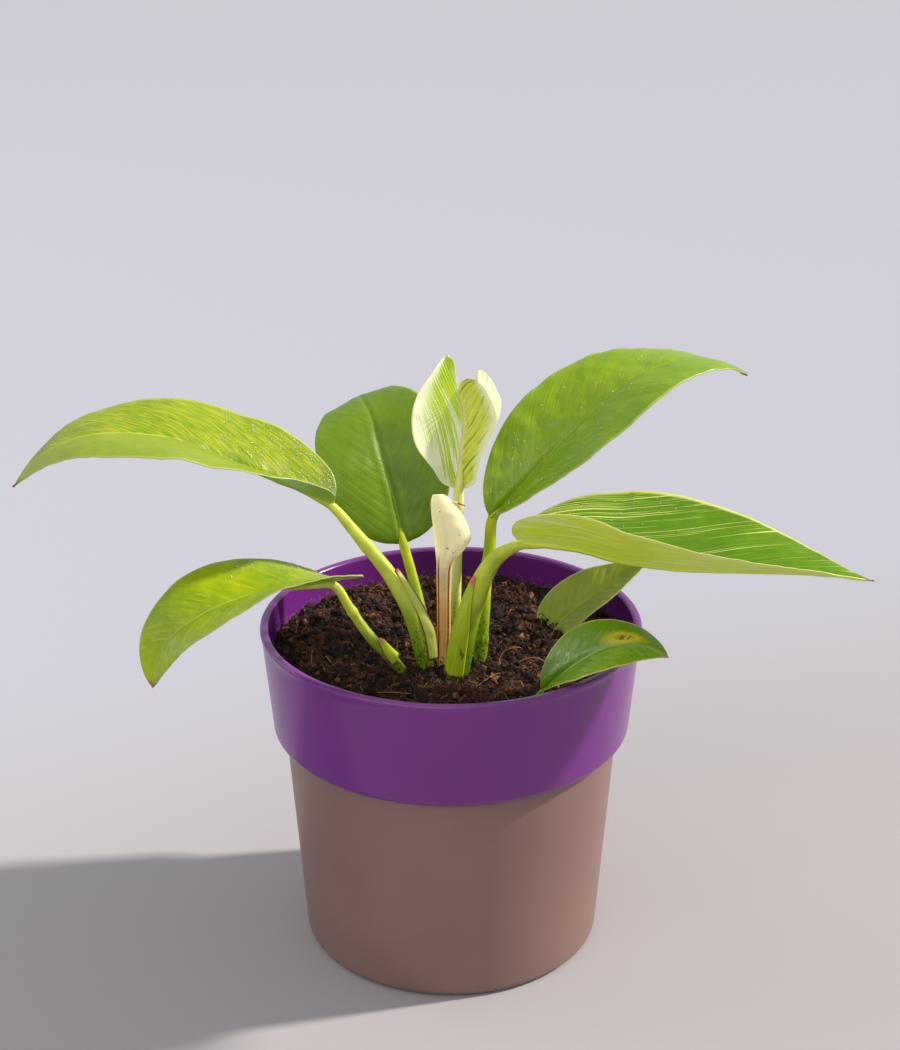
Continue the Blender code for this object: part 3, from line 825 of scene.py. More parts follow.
@dataclass(frozen=True)
class NestedPot:
    """A taupe outer pot, and a purple inner pot whose collar laps over the outer rim. Metres."""

    collar_height: float = 33.0 * MM
    collar_taper: float = 2.7 * MM
    collar_step: float = 3.5 * MM
    body_taper: float = 4.9 * MM
    wall: float = 2.2 * MM
    outer_wall: float = 2.0 * MM
    floor: float = 2.5 * MM
    lip_height: float = 1.6 * MM
    edge_round: float = 2.6 * MM
    gap: float = 0.3 * MM
    turns: int = 192
    inner_finish: MouldedPolypropylene = MouldedPolypropylene(
        "purple moulded polypropylene", "#662374", "#61206f", 0.22, dusty=True)
    outer_finish: MouldedPolypropylene = MouldedPolypropylene(
        "taupe moulded polypropylene", "#785e56", "#735952", 0.42)

    @property
    def band_bottom(self) -> float:
        """Height of the collar's lower edge."""
        return POT_HEIGHT - self.collar_height

    def outer_at(self, z: float) -> float:
        """Outside radius of the outer pot at a height."""
        base = RIM_RADIUS - self.collar_taper - self.collar_step - self.body_taper
        return base + self.body_taper / self.band_bottom * z

    @staticmethod
    def arc(radius: float, height: float, size: float, start: float, end: float, steps: int = 8) -> list:
        """Lists points round part of a circle.

        Args:
            radius: the centre's distance from the pot's axis.
            height: the centre's height.
            size: the arc's own radius.
            start: its first angle, in degrees.
            end: its last angle, in degrees.
            steps: how many pieces to cut it into.

        Returns:
            Points as (radius, height).
        """
        angles = [math.radians(start + (end - start) * i / steps) for i in range(steps + 1)]
        return [(radius + size * math.cos(a), height + size * math.sin(a)) for a in angles]

    def outer_profile(self) -> list:
        """Lists the outer pot's outline from its inner floor round to its base.

        Returns:
            Points as (radius, height).
        """
        top = self.band_bottom + 1.5 * MM
        inside, low = self.outer_wall, self.floor
        line = [(0.0, low), (self.outer_at(low) - inside - 1.5 * MM, low),
                (self.outer_at(low) - inside, low + 1.5 * MM),
                (self.outer_at(top) - inside, top - 0.4 * MM),
                (self.outer_at(top) - inside + 0.4 * MM, top), (self.outer_at(top) - 0.4 * MM, top),
                (self.outer_at(top), top - 0.4 * MM)]
        line += [(self.outer_at(z), z) for z in np.linspace(top - 2 * MM, self.edge_round + 1 * MM, 6)]
        line += self.arc(self.outer_at(self.edge_round) - self.edge_round, self.edge_round,
                         self.edge_round, -4, -90)
        foot = self.outer_at(0.0) - self.edge_round - 2.5 * MM
        return line + [(foot, 0.0), (foot - 0.6 * MM, 0.7 * MM), (0.0, 0.7 * MM)]

    def inner_profile(self) -> list:
        """Lists the inner pot's outline from its inner floor over the lip and round to its base.

        Returns:
            Points as (radius, height).
        """
        shoulder = self.band_bottom + 1.5 * MM + self.gap
        foot = self.floor + self.gap
        floor = foot + self.floor
        lip = POT_HEIGHT - self.lip_height
        rim_inside = RIM_RADIUS - self.wall
        shelf = shoulder + self.wall
        band = RIM_RADIUS - self.collar_taper
        draft = self.collar_taper / (self.collar_height - self.lip_height)
        collar_inside = rim_inside - draft * (lip - shelf)
        skirt = self.outer_at(self.band_bottom) + self.gap

        def body_at(z: float) -> float:
            """Outside radius of the part inside the outer pot, at a height."""
            return self.outer_at(z) - self.outer_wall - self.gap

        line = [(0.0, floor), (body_at(floor) - self.wall - 1.2 * MM, floor),
                (body_at(floor) - self.wall, floor + 1.2 * MM), (body_at(shoulder) - self.wall, shelf),
                (collar_inside - 1.0 * MM, shelf), (collar_inside, shelf + 1.0 * MM), (rim_inside, lip)]
        line += self.arc(rim_inside + 0.9 * MM, POT_HEIGHT - 0.9 * MM, 0.9 * MM, 180, 90, 6)
        line += self.arc(RIM_RADIUS + LIP_BEAD - 0.8 * MM, POT_HEIGHT - 0.8 * MM, 0.8 * MM, 90, 0, 6)
        line += [(RIM_RADIUS + LIP_BEAD, lip + 0.35 * MM), (RIM_RADIUS + 0.15 * MM, lip + 0.05 * MM),
                 (RIM_RADIUS - 0.02 * MM, lip - 0.25 * MM)]
        slope = self.collar_taper / (lip - self.band_bottom - self.edge_round)
        heights = np.linspace(lip - 2 * MM, self.band_bottom + 3.4 * MM, 6)
        line += [(RIM_RADIUS - slope * (lip - z), z) for z in heights]
        line += self.arc(band - self.edge_round, self.band_bottom + self.edge_round,
                         self.edge_round, 0, -90)
        return line + [(skirt + 0.2 * MM, self.band_bottom), (skirt + 0.2 * MM, shoulder - 0.3 * MM),
                       (skirt - 0.1 * MM, shoulder), (body_at(shoulder) + 0.1 * MM, shoulder),
                       (body_at(shoulder) - 0.1 * MM, shoulder - 0.4 * MM),
                       (body_at(foot) - 0.2 * MM, foot + 1.6 * MM), (body_at(foot) - 1.9 * MM, foot),
                       (0.0, foot)]

    def turned(self, name: str, profile: list, material: bpy.types.Material) -> bpy.types.Mesh:
        """Turns a profile about the pot's axis.

        Args:
            name: the mesh's name.
            profile: points as (radius, height), outside on the way down.
            material: its material.

        Returns:
            The mesh.
        """
        line = np.array(profile)
        angles = np.linspace(0, 2 * math.pi, self.turns, endpoint=False)
        points = np.stack([line[:, :1] * np.cos(angles), line[:, :1] * np.sin(angles),
                           np.repeat(line[:, 1:], self.turns, axis=1)], -1)
        index = np.arange(points.shape[0] * self.turns).reshape(-1, self.turns)
        turned = np.roll(index, -1, axis=1)
        faces = np.stack([index[:-1], index[1:], turned[1:], turned[:-1]], -1).reshape(-1, 4)
        mesh = new_mesh(name, points, faces.tolist(), [material])
        work = bmesh.new()
        work.from_mesh(mesh)
        bmesh.ops.remove_doubles(work, verts=work.verts, dist=1e-6)
        bmesh.ops.recalc_face_normals(work, faces=work.faces)
        work.to_mesh(mesh)
        work.free()
        mesh.set_sharp_from_angle(angle=math.radians(35))
        return mesh

    def build(self) -> None:
        """Builds both pots."""
        inner = self.inner_finish.material(RIM_RADIUS - self.wall + 0.4 * MM)
        new_object("outer_pot_shell", self.turned("outer_pot_shell", self.outer_profile(),
                                                  self.outer_finish.material()), "outer_pot")
        new_object("inner_pot_shell", self.turned("inner_pot_shell", self.inner_profile(), inner),
                   "inner_pot")


@dataclass(frozen=True)
class PottingMix:
    """Loose coir and peat: a lumpy bed, crumbs on it, and fibres among them. Plant millimetres."""

    dish: float = 2.0
    lumps: tuple = ((9.0, 1.0, 3), (2.6, 1.05, 3), (1.1, 0.45, 2))  # width, height, layers of each size
    crumbs: int = 2300
    crumb_sizes: tuple = (0.3, 1.25)
    fibres: int = 1350
    fibre_lengths: tuple = (2.0, 10.0)
    long_fibres: tuple = (                  # points, radius and tone of those that stand clear of the bed
        (((19.0, -13.5, 0.6), (23.5, -14.5, 2.6), (28.0, -18.0, 2.2), (32.5, -21.0, 0.2)), 0.19, 0.72),
        (((13.5, -14.0, -1.0), (15.0, -12.5, 3.5), (19.0, -13.0, 5.2), (20.5, -11.0, 3.2)), 0.15, 0.62),
        (((-39.0, -16.0, -1.0), (-39.6, -16.2, 3.0), (-39.2, -15.8, 6.0)), 0.2, 0.66),
        (((-24.0, -31.0, -0.5), (-18.0, -34.0, 1.6), (-11.0, -33.0, 0.6)), 0.16, 0.6),
        (((6.0, -28.0, -0.8), (11.0, -25.0, 1.8), (14.0, -20.0, 0.4)), 0.16, 0.55))
    fibre_sides: int = 6
    bed_rings: int = 150
    bed_turns: int = 400
    plug_heights: tuple = (-14.0, -21.0)    # foot of the bed's wall, and its underside
    seed: int = 7
    finish: CoirPeat = CoirPeat("milled coir and peat", "#150a06", "#55301a", "#a86b40")

    @property
    def radius(self) -> float:
        """Radius of the bed at its surface."""
        return MIX_REACH / PLANT_SCALE / MM - 1.0

    def level(self, x: Points, y: Points) -> Points:
        """Gives the bed's height.

        Args:
            x: across, in plant millimetres.
            y: away from the front.

        Returns:
            Heights above the potting mix's level.
        """
        share = np.hypot(x, y) / self.radius
        height = -self.dish * np.interp(share, (0, 0.24, 0.45, 0.65, 0.85, 1.0),
                                        (1.0, 0.95, 0.6, 0.2, 0.05, 0.3))
        for number, (size, tall, layers) in enumerate(self.lumps):
            height = height + tall * rough_noise(x, y, size, layers, self.seed + 10 * number)
        return height

    def toned(self, mesh: bpy.types.Mesh, tones: Points) -> bpy.types.Mesh:
        """Writes the tone of each point to a mesh and returns it."""
        mesh.attributes.new("tone", "FLOAT", "POINT").data.foreach_set("value", tones.astype(np.float32))
        return mesh

    def bed(self, material: bpy.types.Material) -> bpy.types.Mesh:
        """Builds the bed as a closed plug.

        Args:
            material: its material.

        Returns:
            The mesh.
        """
        reach = np.concatenate([np.linspace(0.004, 1.0, self.bed_rings),
                                [1.0, 0.985]]) * (self.radius + 0.9)
        angles = np.linspace(0, 2 * math.pi, self.bed_turns, endpoint=False)
        x, y = reach[:, None] * np.cos(angles), reach[:, None] * np.sin(angles)
        z = self.level(x, y)
        z[-2], z[-1] = self.plug_heights
        faces = tube_faces(len(reach), self.bed_turns)
        points = to_world(np.stack([x, y, z], -1))
        mesh = new_mesh("potting_mix_bed", points, [face[::-1] for face in faces], [material])
        # Over a random tone, the tone rises 0.05 for each millimetre of the bed's height: painted shade in
        # its hollows and painted light on its lumps.
        tone = 0.10 + 0.16 * np.clip(rough_noise(x, y, 4.0, 3, self.seed + 50), -1,
                                     1) + 0.05 * z.clip(-3, 2)
        return self.toned(mesh, tone.reshape(-1))

    def crumb_heap(self, material: bpy.types.Material) -> bpy.types.Mesh:
        """Builds the loose crumbs that lie on the bed, as one mesh.

        Args:
            material: their material.

        Returns:
            The mesh.
        """
        rng = np.random.default_rng(self.seed)
        shape, faces = unit_ball()
        away = self.radius * np.sqrt(rng.random(self.crumbs)) * 0.985
        turn = rng.random(self.crumbs) * 2 * math.pi
        x, y = away * np.cos(turn), away * np.sin(turn)
        size = drawn_between(rng, self.crumb_sizes, 2.6, self.crumbs)
        axes = unit(rng.normal(size=(self.crumbs, 3, 3)))
        spin = np.linalg.qr(axes)[0]
        stretch = size[:, None] * (0.6 + 0.7 * rng.random((self.crumbs, 3)))
        rough = 1 + 0.38 * rng.normal(size=(self.crumbs, len(shape), 1)).clip(-1.5, 1.5)
        points = np.einsum("nij,nvj->nvi", spin, shape[None] * rough * stretch[:, None])
        points += np.stack([x, y, self.level(x, y) + 0.25 * size], -1)[:, None]
        every = repeated(faces, len(shape), self.crumbs)
        mesh = new_mesh("potting_mix_crumbs", to_world(points), every, [material])
        tones = np.repeat(rng.random(self.crumbs) ** 2.0 * 0.5 - 0.02, len(shape))
        return self.toned(mesh, tones)

    def fibre_lines(self) -> list[tuple[Points, float, float]]:
        """Draws where the fibres lie.

        Returns:
            Each fibre's line, radius and tone.
        """
        rng = np.random.default_rng(self.seed + 1)
        rows = np.linspace(0, 1, 12)
        made = []
        for _ in range(self.fibres):
            away = self.radius * math.sqrt(rng.random()) * 0.94
            turn, heading = rng.random(2) * 2 * math.pi
            long = drawn_between(rng, self.fibre_lengths, 2)
            way = heading + rng.normal() * rows + 0.5 * np.sin(rows * 6 + rng.random() * 6)
            x = away * math.cos(turn) + np.cumsum(np.cos(way)) * long / len(rows)
            y = away * math.sin(turn) + np.cumsum(np.sin(way)) * long / len(rows)
            lift = 0.25 + rng.random() ** 3 * 2.2 * np.sin(math.pi * rows * (0.6 + 0.6 * rng.random()))
            far = np.hypot(x, y).max() / (self.radius - 0.5)
            if far > 1:
                x, y = x / far, y / far
            line = np.stack([x, y, self.level(x, y) + lift], -1)
            made.append((line, 0.06 + 0.1 * rng.random() ** 2, 0.04 + 0.6 * rng.random() ** 1.8))
        return made + [(path(points, 16)[0], thick, tone) for points, thick, tone in self.long_fibres]

    def fibre_tangle(self, material: bpy.types.Material) -> bpy.types.Mesh:
        """Builds the fibres as one mesh.

        Args:
            material: their material.

        Returns:
            The mesh.
        """
        points, faces, tones, first = [], [], [], 0
        for line, thick, tone in self.fibre_lines():
            taper = 0.35 + 0.65 * np.sin(math.pi * np.linspace(0.08, 0.92, len(line))) ** 0.5
            rings = tube_rings(line, thick * taper, self.fibre_sides)
            points.append(rings.reshape(-1, 3))
            faces += tube_faces(len(line), self.fibre_sides, first)
            tones.append(np.full(len(points[-1]), tone))
            first += len(points[-1])
        mesh = new_mesh("potting_mix_fibres", to_world(np.concatenate(points)), faces, [material])
        return self.toned(mesh, np.concatenate(tones))

    def build(self) -> None:
        """Builds the bed, its crumbs and its fibres."""
        material = self.finish.material()
        new_object("potting_mix_bed", self.bed(material), "potting_mix")
        new_object("potting_mix_crumbs", self.crumb_heap(material))
        new_object("potting_mix_fibres", self.fibre_tangle(material))


@dataclass(frozen=True)
class LeafBlade:
    """One leaf blade: a midrib in space with a half sheet on each side of it. Plant millimetres."""

    name: str
    midrib: tuple                    # from the stalk to the tip
    half_width: float                # at the widest
    faces: tuple                     # way the upper side faces at base, middle and tip
    right: tuple                     # rise of the right half above flat, degrees, at base, middle and tip
    left: tuple
    upper: LeafCuticle
    under: LeafCuticle
    slot: str = "leaf"
    curl: tuple = (0, 0, 0)          # further turn from midrib to margin, degrees
    lobe: float = 2.0                # how far the base reaches back past the stalk
    base_power: float = 0.75         # how full the outline is near the base
    tip_power: float = 0.95          # and near the tip
    thickness: float = 0.55
    groove: float = 0.35             # depth of the midrib's groove above
    rib: float = 0.75                # how far the midrib stands out below
    quilt: float = 0.16              # swelling between side veins
    ripple: float = 0.6              # waviness towards the margin
    bumps: float = 0.12              # small swellings all over
    rows: int = 130
    columns: int = 27                # each side of the midrib

    def surface(self) -> tuple[Points, Points, Points, Points]:
        """Works out the blade's middle surface.

        Returns:
            Its points, its normals, its "Blade" map (decimetres) and its "Place" map (shares).
        """
        samples = 400
        line, length = path(self.midrib, samples)
        tangents = unit(np.gradient(line, axis=0))
        v = (1 - np.cos(np.linspace(0.02, math.pi - 0.02, self.rows + 1))) / 2
        t = np.linspace(-1.0, 1.0, 2 * self.columns + 1)
        t = np.sign(t) * (0.65 * np.abs(t) + 0.35 * np.abs(t) ** 2)
        widest = self.base_power / (self.base_power + self.tip_power)
        peak = widest**self.base_power * (1 - widest)**self.tip_power
        margin_x = self.half_width * v**self.base_power * (1 - v)**self.tip_power / peak
        notch = np.clip(1 - margin_x / (0.45 * self.half_width), 0, 1)**1.5 * (v < widest)
        margin_y = -self.lobe + (length + self.lobe) * v + self.lobe * notch
        middle_y = length * v**1.15
        x = margin_x[:, None] * np.abs(t)
        y = middle_y[:, None] + (margin_y - middle_y)[:, None] * np.abs(t) ** 1.6
        k = np.clip(y / length, 0.0, 1.0)
        at = np.arange(samples + 1)
        here = np.stack([np.interp(k * samples, at, line[:, a]) for a in range(3)], -1)
        along = unit(np.stack([np.interp(k * samples, at, tangents[:, a]) for a in range(3)], -1))
        here = here + along * np.minimum(y, 0.0)[..., None]
        up = through(self.faces, k)
        normal = unit(up - (up * along).sum(-1, keepdims=True) * along)
        side = np.cross(along, normal)
        rise = np.radians(np.where(t > 0, through(self.right, k), through(self.left, k)))
        bend = np.radians(through(self.curl, k)) / self.half_width + 1e-9
        out = (np.sin(rise + bend * x) - np.sin(rise)) / bend
        lift = (np.cos(rise) - np.cos(rise + bend * x)) / bend
        points = here + side * (np.sign(t) * out)[..., None] + normal * lift[..., None]
        across = x * np.sign(t)
        blade = np.stack([across / 100 + 0.5, y / 100], -1)
        place = share_map(t / 2 + 0.5, v)
        normals = self.normals(points)
        seed = seed_of(self.name)
        share = np.abs(t)[None, :]
        bumps = self.ripple * share**2 * rough_noise(across + 40, y + seed, 17.0, 2, seed)
        phase = (y - self.upper.lean * x - VEIN_BEND * x * x) / self.upper.vein_mm * 2 * math.pi
        bumps += self.quilt * np.cos(phase) * share**0.5 * (1 - share**4) * np.sin(math.pi * v)[:, None]
        bumps += self.bumps * rough_noise(across + 40, y + seed, 4.0, 2, seed + 3)
        points = points + normals * bumps[..., None]
        return points, self.normals(points), blade, place

    @staticmethod
    def normals(points: Points) -> Points:
        """Gives the upper side's normals of a grid of points."""
        along, across = np.gradient(points, axis=0), np.gradient(points, axis=1)
        return unit(np.cross(across, along))

    def build(self) -> tuple[Points, Points, Points]:
        """Builds the blade.

        Returns:
            Its upper points in plant millimetres, their normals, and the "Place" map.
        """
        points, normals, blade, place = self.surface()
        x = (blade[..., 0] - 0.5) * 100
        share = np.abs(place[..., 0] - 0.5) * 2
        along = place[..., 1]
        thick = self.thickness * (1 - 0.55 * share**3) * np.clip(np.minimum(along, 1 - along) * 30, 0.35, 1)
        middle = np.exp(-(x / 0.8) ** 2) * (1 - 0.8 * along)
        beside = np.exp(-((np.abs(x) - 1.7) / 0.9) ** 2) * (1 - 0.8 * along) * 0.22
        above = thick / 2 - self.groove * middle + beside
        below = thick / 2 + self.rib * np.exp(-(x / 0.95) ** 2) * (1 - 0.85 * along)
        upper = points + normals * above[..., None]
        lower = points - normals * below[..., None]
        mesh = sheet_mesh(self.name + "_surface", to_world(upper), to_world(lower),
                          {"Blade": blade, "Place": place}, [self.upper.material(), self.under.material()])
        new_object(self.name + "_surface", mesh, self.name)
        return upper, normals, place


@dataclass(frozen=True)
class OpeningHalf:
    """Part of the unfurling leaf: a sheet from its midrib to a margin that cups forward.

    Plant millimetres.
    """

    name: str
    stations: tuple                  # (height, midrib across, margin across, midrib depth, margin depth)
    side: Side
    upper: LeafCuticle
    under: LeafCuticle
    node: str = ""
    bow: float = 0.9                 # how far the sheet bows back between midrib and margin
    quilt: float = 0.16              # swelling between side veins
    quilt_mm: float = 2.6            # from one swelling to the next
    ripple: float = 0.35             # waviness towards the margin
    rib: float = 0.5                 # how far the midrib stands out below
    thickness: float = 0.45
    rows: int = 150
    columns: int = 44

    def build(self) -> None:
        """Builds the sheet."""
        given = np.array(self.stations, float)
        inner, _ = path(tuple(map(tuple, given[:, [1, 3, 0]])), self.rows)
        outer, _ = path(tuple(map(tuple, given[:, [2, 4, 0]])), self.rows)
        t = np.linspace(0.0, 1.0, self.columns + 1)
        v = np.linspace(0.0, 1.0, self.rows + 1)
        points = inner[:, None] * (1 - t)[None, :, None] + outer[:, None] * t[None, :, None]
        width = np.linalg.norm(outer - inner, axis=1)
        points[..., 1] += self.bow * np.sin(math.pi * t)[None, :] * np.clip(width / 6, 0, 1)[:, None]
        x = t[None, :] * width[:, None] * self.side.value
        y = points[..., 2] - given[0, 0]
        seed = seed_of(self.name)
        run = y - self.upper.lean * np.abs(x)
        quilting = self.quilt * np.cos(run / self.quilt_mm * 2 * math.pi) * np.sin(math.pi * t)
        points[..., 1] += quilting + self.ripple * t**2 * rough_noise(x + 30, y + seed, 6.0, 2, seed)
        normals = LeafBlade.normals(points) * self.side.value
        thin = self.thickness / 2 * (1 - 0.5 * t**3)[None, :, None]
        rib = self.rib * np.exp(-(x / 0.7) ** 2)[..., None] * (1 - 0.7 * v)[:, None, None]
        place = share_map(0.5 + self.side.value * t / 2, v)
        maps = {"Blade": np.stack([x / 100 + 0.5, y / 100], -1), "Place": place}
        upper, lower = to_world(points + normals * thin), to_world(points - normals * (thin + rib))
        if self.side is Side.LEFT:
            upper, lower, maps = upper[:, ::-1], lower[:, ::-1], {key: grid[:, ::-1] for key,
                                                                  grid in maps.items()}
        mesh = sheet_mesh(self.name, upper, lower, maps, [self.upper.material(), self.under.material()])
        new_object(self.name, mesh, self.node)


@dataclass(frozen=True)
class Stalk:
    """One leaf stalk: a round tube that thins out under its blade. Plant millimetres."""

    name: str
    line: tuple
    radii: tuple
    finish: StalkSkin
    swellings: tuple = ()            # (share of the length, extra radius, half width) of each node ring
    under: tuple = ()                # points under the blade where the stalk becomes its midrib
    sides: int = 26

    def build(self) -> None:
        """Builds the stalk."""
        whole = self.line + self.under
        rows = 14 * (len(whole) - 1)
        line, length = path(whole, rows)
        k = np.linspace(0, 1, rows + 1)
        marks = marks_along(np.array(whole, float))
        radii = list(self.radii) + [self.radii[-1] * share for share in (0.62, 0.3, 0.2)[:len(self.under)]]
        radius = np.interp(k, marks, radii)
        radius = np.convolve(np.pad(radius, 4, mode="edge"), np.ones(9) / 9, mode="valid")
        for share, extra, wide in self.swellings:
            radius = radius + extra * np.exp(-((k - share) * length / wide) ** 2)
        rings = tube_rings(line, radius, self.sides)
        turn = np.linspace(0, 2 * math.pi, self.sides, endpoint=False)
        seed = seed_of(self.name)
        ridges = 0.05 * np.cos(turn * 7 + 0.6 * np.sin(k[:, None] * 9)) + 0.05 * rough_noise(
            turn[None, :] * 3 + 20, k[:, None] * length / 4 + seed, 1.0, 2, seed)
        rings = rings + unit(rings - line[:, None]) * ridges[..., None]
        faces = tube_faces(rows + 1, self.sides)
        mesh = new_mesh(self.name + "_skin", to_world(rings), faces, [self.finish.material()])
        share = np.arange(self.sides) / self.sides
        lengths = k * length / 100
        around = np.stack([share, share + 1 / self.sides, share + 1 / self.sides, share], -1)
        up = np.stack([lengths[:-1], lengths[:-1], lengths[1:], lengths[1:]], -1)
        wall = np.stack([np.tile(around, (rows, 1)), np.repeat(up, self.sides, axis=0)], -1).reshape(-1, 2)
        caps = np.concatenate([np.tile([0.5, lengths[0]], (self.sides, 1)),
                               np.tile([0.5, lengths[-1]], (self.sides, 1))])
        layer = mesh.uv_layers.new(name="Skin")
        layer.data.foreach_set("uv", np.concatenate([wall, caps]).astype(np.float32).reshape(-1))
        new_object(self.name + "_skin", mesh, self.name)


@dataclass(frozen=True)
class Sheath:
    """A thin open channel that wraps part of the way round a stalk. Plant millimetres."""

    name: str
    line: tuple
    radii: tuple
    spread: tuple                    # half angle of the wrap at base, middle and top, degrees
    faces: tuple                     # direction the closed side faces at base, middle and top
    finish: SheathMembrane
    node: str = ""
    slot: str = "stalk"
    thickness: float = 0.32
    flare: float = 0.35              # how far the edges stand off the stalk
    rows: int = 80
    columns: int = 28

    def build(self) -> None:
        """Builds the sheath."""
        line, length = path(self.line, self.rows)
        along = unit(np.gradient(line, axis=0))
        k = np.linspace(0.0, 1.0, self.rows + 1)
        radius = np.interp(k, np.linspace(0.0, 1.0, len(self.radii)), self.radii)
        spread = np.radians(through(self.spread, k))
        front = through(self.faces, k)
        front = unit(front - (front * along).sum(axis=1)[:, None] * along)
        side = np.cross(along, front)
        t = np.linspace(-1.0, 1.0, self.columns + 1)
        angles = t[None, :] * spread[:, None]
        ring = front[:, None, :] * np.cos(angles)[..., None] + side[:, None, :] * np.sin(angles)[..., None]
        seed = seed_of(self.name)
        wave = 0.12 * rough_noise(t[None, :] * 2 + 9, k[:, None] * length / 5 + seed, 1.0, 2, seed)
        out = radius[:, None] + self.flare * np.abs(t)[None, :] ** 3 + wave
        middle = line[:, None, :] + ring * out[..., None]
        thin = self.thickness * (1 - 0.5 * np.abs(t)[None, :] ** 2)[..., None] / 2
        place = share_map(t / 2 + 0.5, k)
        mesh = sheet_mesh(self.name + "_membrane", to_world(middle - ring * thin)[:, ::-1],
                          to_world(middle + ring * thin)[:, ::-1], {"Place": place[:, ::-1]},
                          [self.finish.material()])
        new_object(self.name + "_membrane", mesh, self.node)


@dataclass(frozen=True)
class Strap:
    """A dried sheath that stands by itself, as a strap bowed towards the front. Plant millimetres."""

    name: str
    stations: tuple                  # (height, left edge, right edge, bulge towards the front, depth)
    finish: SheathMembrane
    slot: str
    node: str
    twist: float = 0.0               # how much further back the right edge lies than the left
    half_turn: float = 84.0          # degrees from the middle of the bow to an edge
    rows: int = 130
    columns: int = 40
    thickness: float = 0.35

    def build(self) -> None:
        """Builds the strap."""
        given = np.array(self.stations, float)
        line, _ = path(tuple(map(tuple, given[:, :3])), self.rows)
        order = np.linspace(0, 1, self.rows + 1)
        marks = marks_along(given[:, :3])
        bulge, depth = (np.interp(order, marks, given[:, column]) for column in (3, 4))
        height, left, right = line.T
        t = np.linspace(0.0, 1.0, self.columns + 1)
        arc = np.radians(-self.half_turn + 2 * self.half_turn * t)
        reach = math.sin(math.radians(self.half_turn))
        x = (left + right)[:, None] / 2 + (right - left)[:, None] / 2 * np.sin(arc) / reach
        y = depth[:, None] - bulge[:, None] * np.cos(arc) + self.twist * t
        z = height[:, None] + 0.5 * np.sin(t * math.pi) * np.clip((height - 30) / 12, 0, 1)[:, None]
        wave = 0.16 * rough_noise(x + 20, z, 5.0, 3, 5)
        middle = np.stack([x, y + wave, z], -1)
        normals = LeafBlade.normals(middle)
        thin = self.thickness / 2 * (1 - 0.5 * (2 * t - 1) ** 4)[None, :, None]
        place = share_map(t, order)
        mesh = sheet_mesh(self.name, to_world(middle + normals * thin), to_world(middle - normals * thin),
                          {"Place": place}, [self.finish.material()])
        new_object(self.name, mesh, self.node)


@dataclass(frozen=True)
class DewPatch:
    """Where beads of water stand on a blade."""

    blade: str
    across: tuple                    # range of shares from the left margin to the right
    along: tuple                     # range of shares from the base to the tip
    count: int
    sizes: tuple = (0.12, 0.5)       # radii in plant millimetres
    crowding: float = 1.5            # how strongly the beads gather towards the first end of "along"


@dataclass(frozen=True)
class Dew:
    """Beads of water that stand on the leaves after misting."""

    patches: tuple
    finish: WaterBead = WaterBead()
    seed: int = 21

    def build(self, blades: dict) -> None:
        """Builds the beads of each blade as one mesh.

        Args:
            blades: blade name to its upper points, their normals and its "Place" map.
        """
        rng = np.random.default_rng(self.seed)
        shape, faces = unit_ball()
        material = self.finish.material()
        for patch in self.patches:
            upper, normals, place = blades[patch.blade]
            along = drawn_between(rng, patch.along, patch.crowding, patch.count)
            across = drawn_between(rng, patch.across, count=patch.count)
            row = np.abs(place[:, 0, 1][None, :] - along[:, None]).argmin(axis=1)
            column = np.abs(place[0, :, 0][None, :] - across[:, None]).argmin(axis=1)
            at = upper[row, column] + rng.normal(size=(patch.count, 3)) * 0.15
            up = normals[row, column]
            at -= up * ((at - upper[row, column]) * up).sum(-1, keepdims=True)
            side = unit(np.cross(up, np.array([0.3, 0.8, 0.5])))
            other = np.cross(up, side)
            size = drawn_between(rng, patch.sizes, 2.5, patch.count)
            drawn = 1 + 0.35 * rng.random((patch.count, 2))
            local = shape[None] * np.stack([drawn[:, 0], drawn[:, 1], np.full(patch.count, 0.62)],
                                           -1)[:, None]
            flat = local[..., :1] * side[:, None] + local[..., 1:2] * other[:, None]
            points = at[:, None] + size[:, None, None] * (flat + local[..., 2:] * up[:, None])
            every = repeated(faces, len(shape), patch.count)
            name = "dew_on_" + patch.blade
            new_object(name, new_mesh(name, to_world(points), every, [material]))


@dataclass(frozen=True)
class Lamp:
    """One lamp, aimed at the plant. Metres."""

    name: str
    kind: LampKind
    place: tuple
    size: float                      # side of a panel, or the sun's width in degrees
    power: float                     # watts for a panel, watts to the square metre for the sun
    colour: str
    target: tuple = (0.0, 0.0, 0.08)

    def build(self) -> None:
        """Builds the lamp."""
        light = bpy.data.lights.new(self.name, self.kind.value)
        light.energy, light.color = self.power, linear(self.colour)[:3]
        if self.kind is LampKind.SUN:
            light.angle = math.radians(self.size)
        else:
            light.size = self.size
        made = bpy.data.objects.new(self.name, light)
        made.location = self.place
        made.rotation_euler = (Vector(self.target) - Vector(self.place)).to_track_quat("-Z", "Y").to_euler()
        bpy.context.scene.collection.objects.link(made)


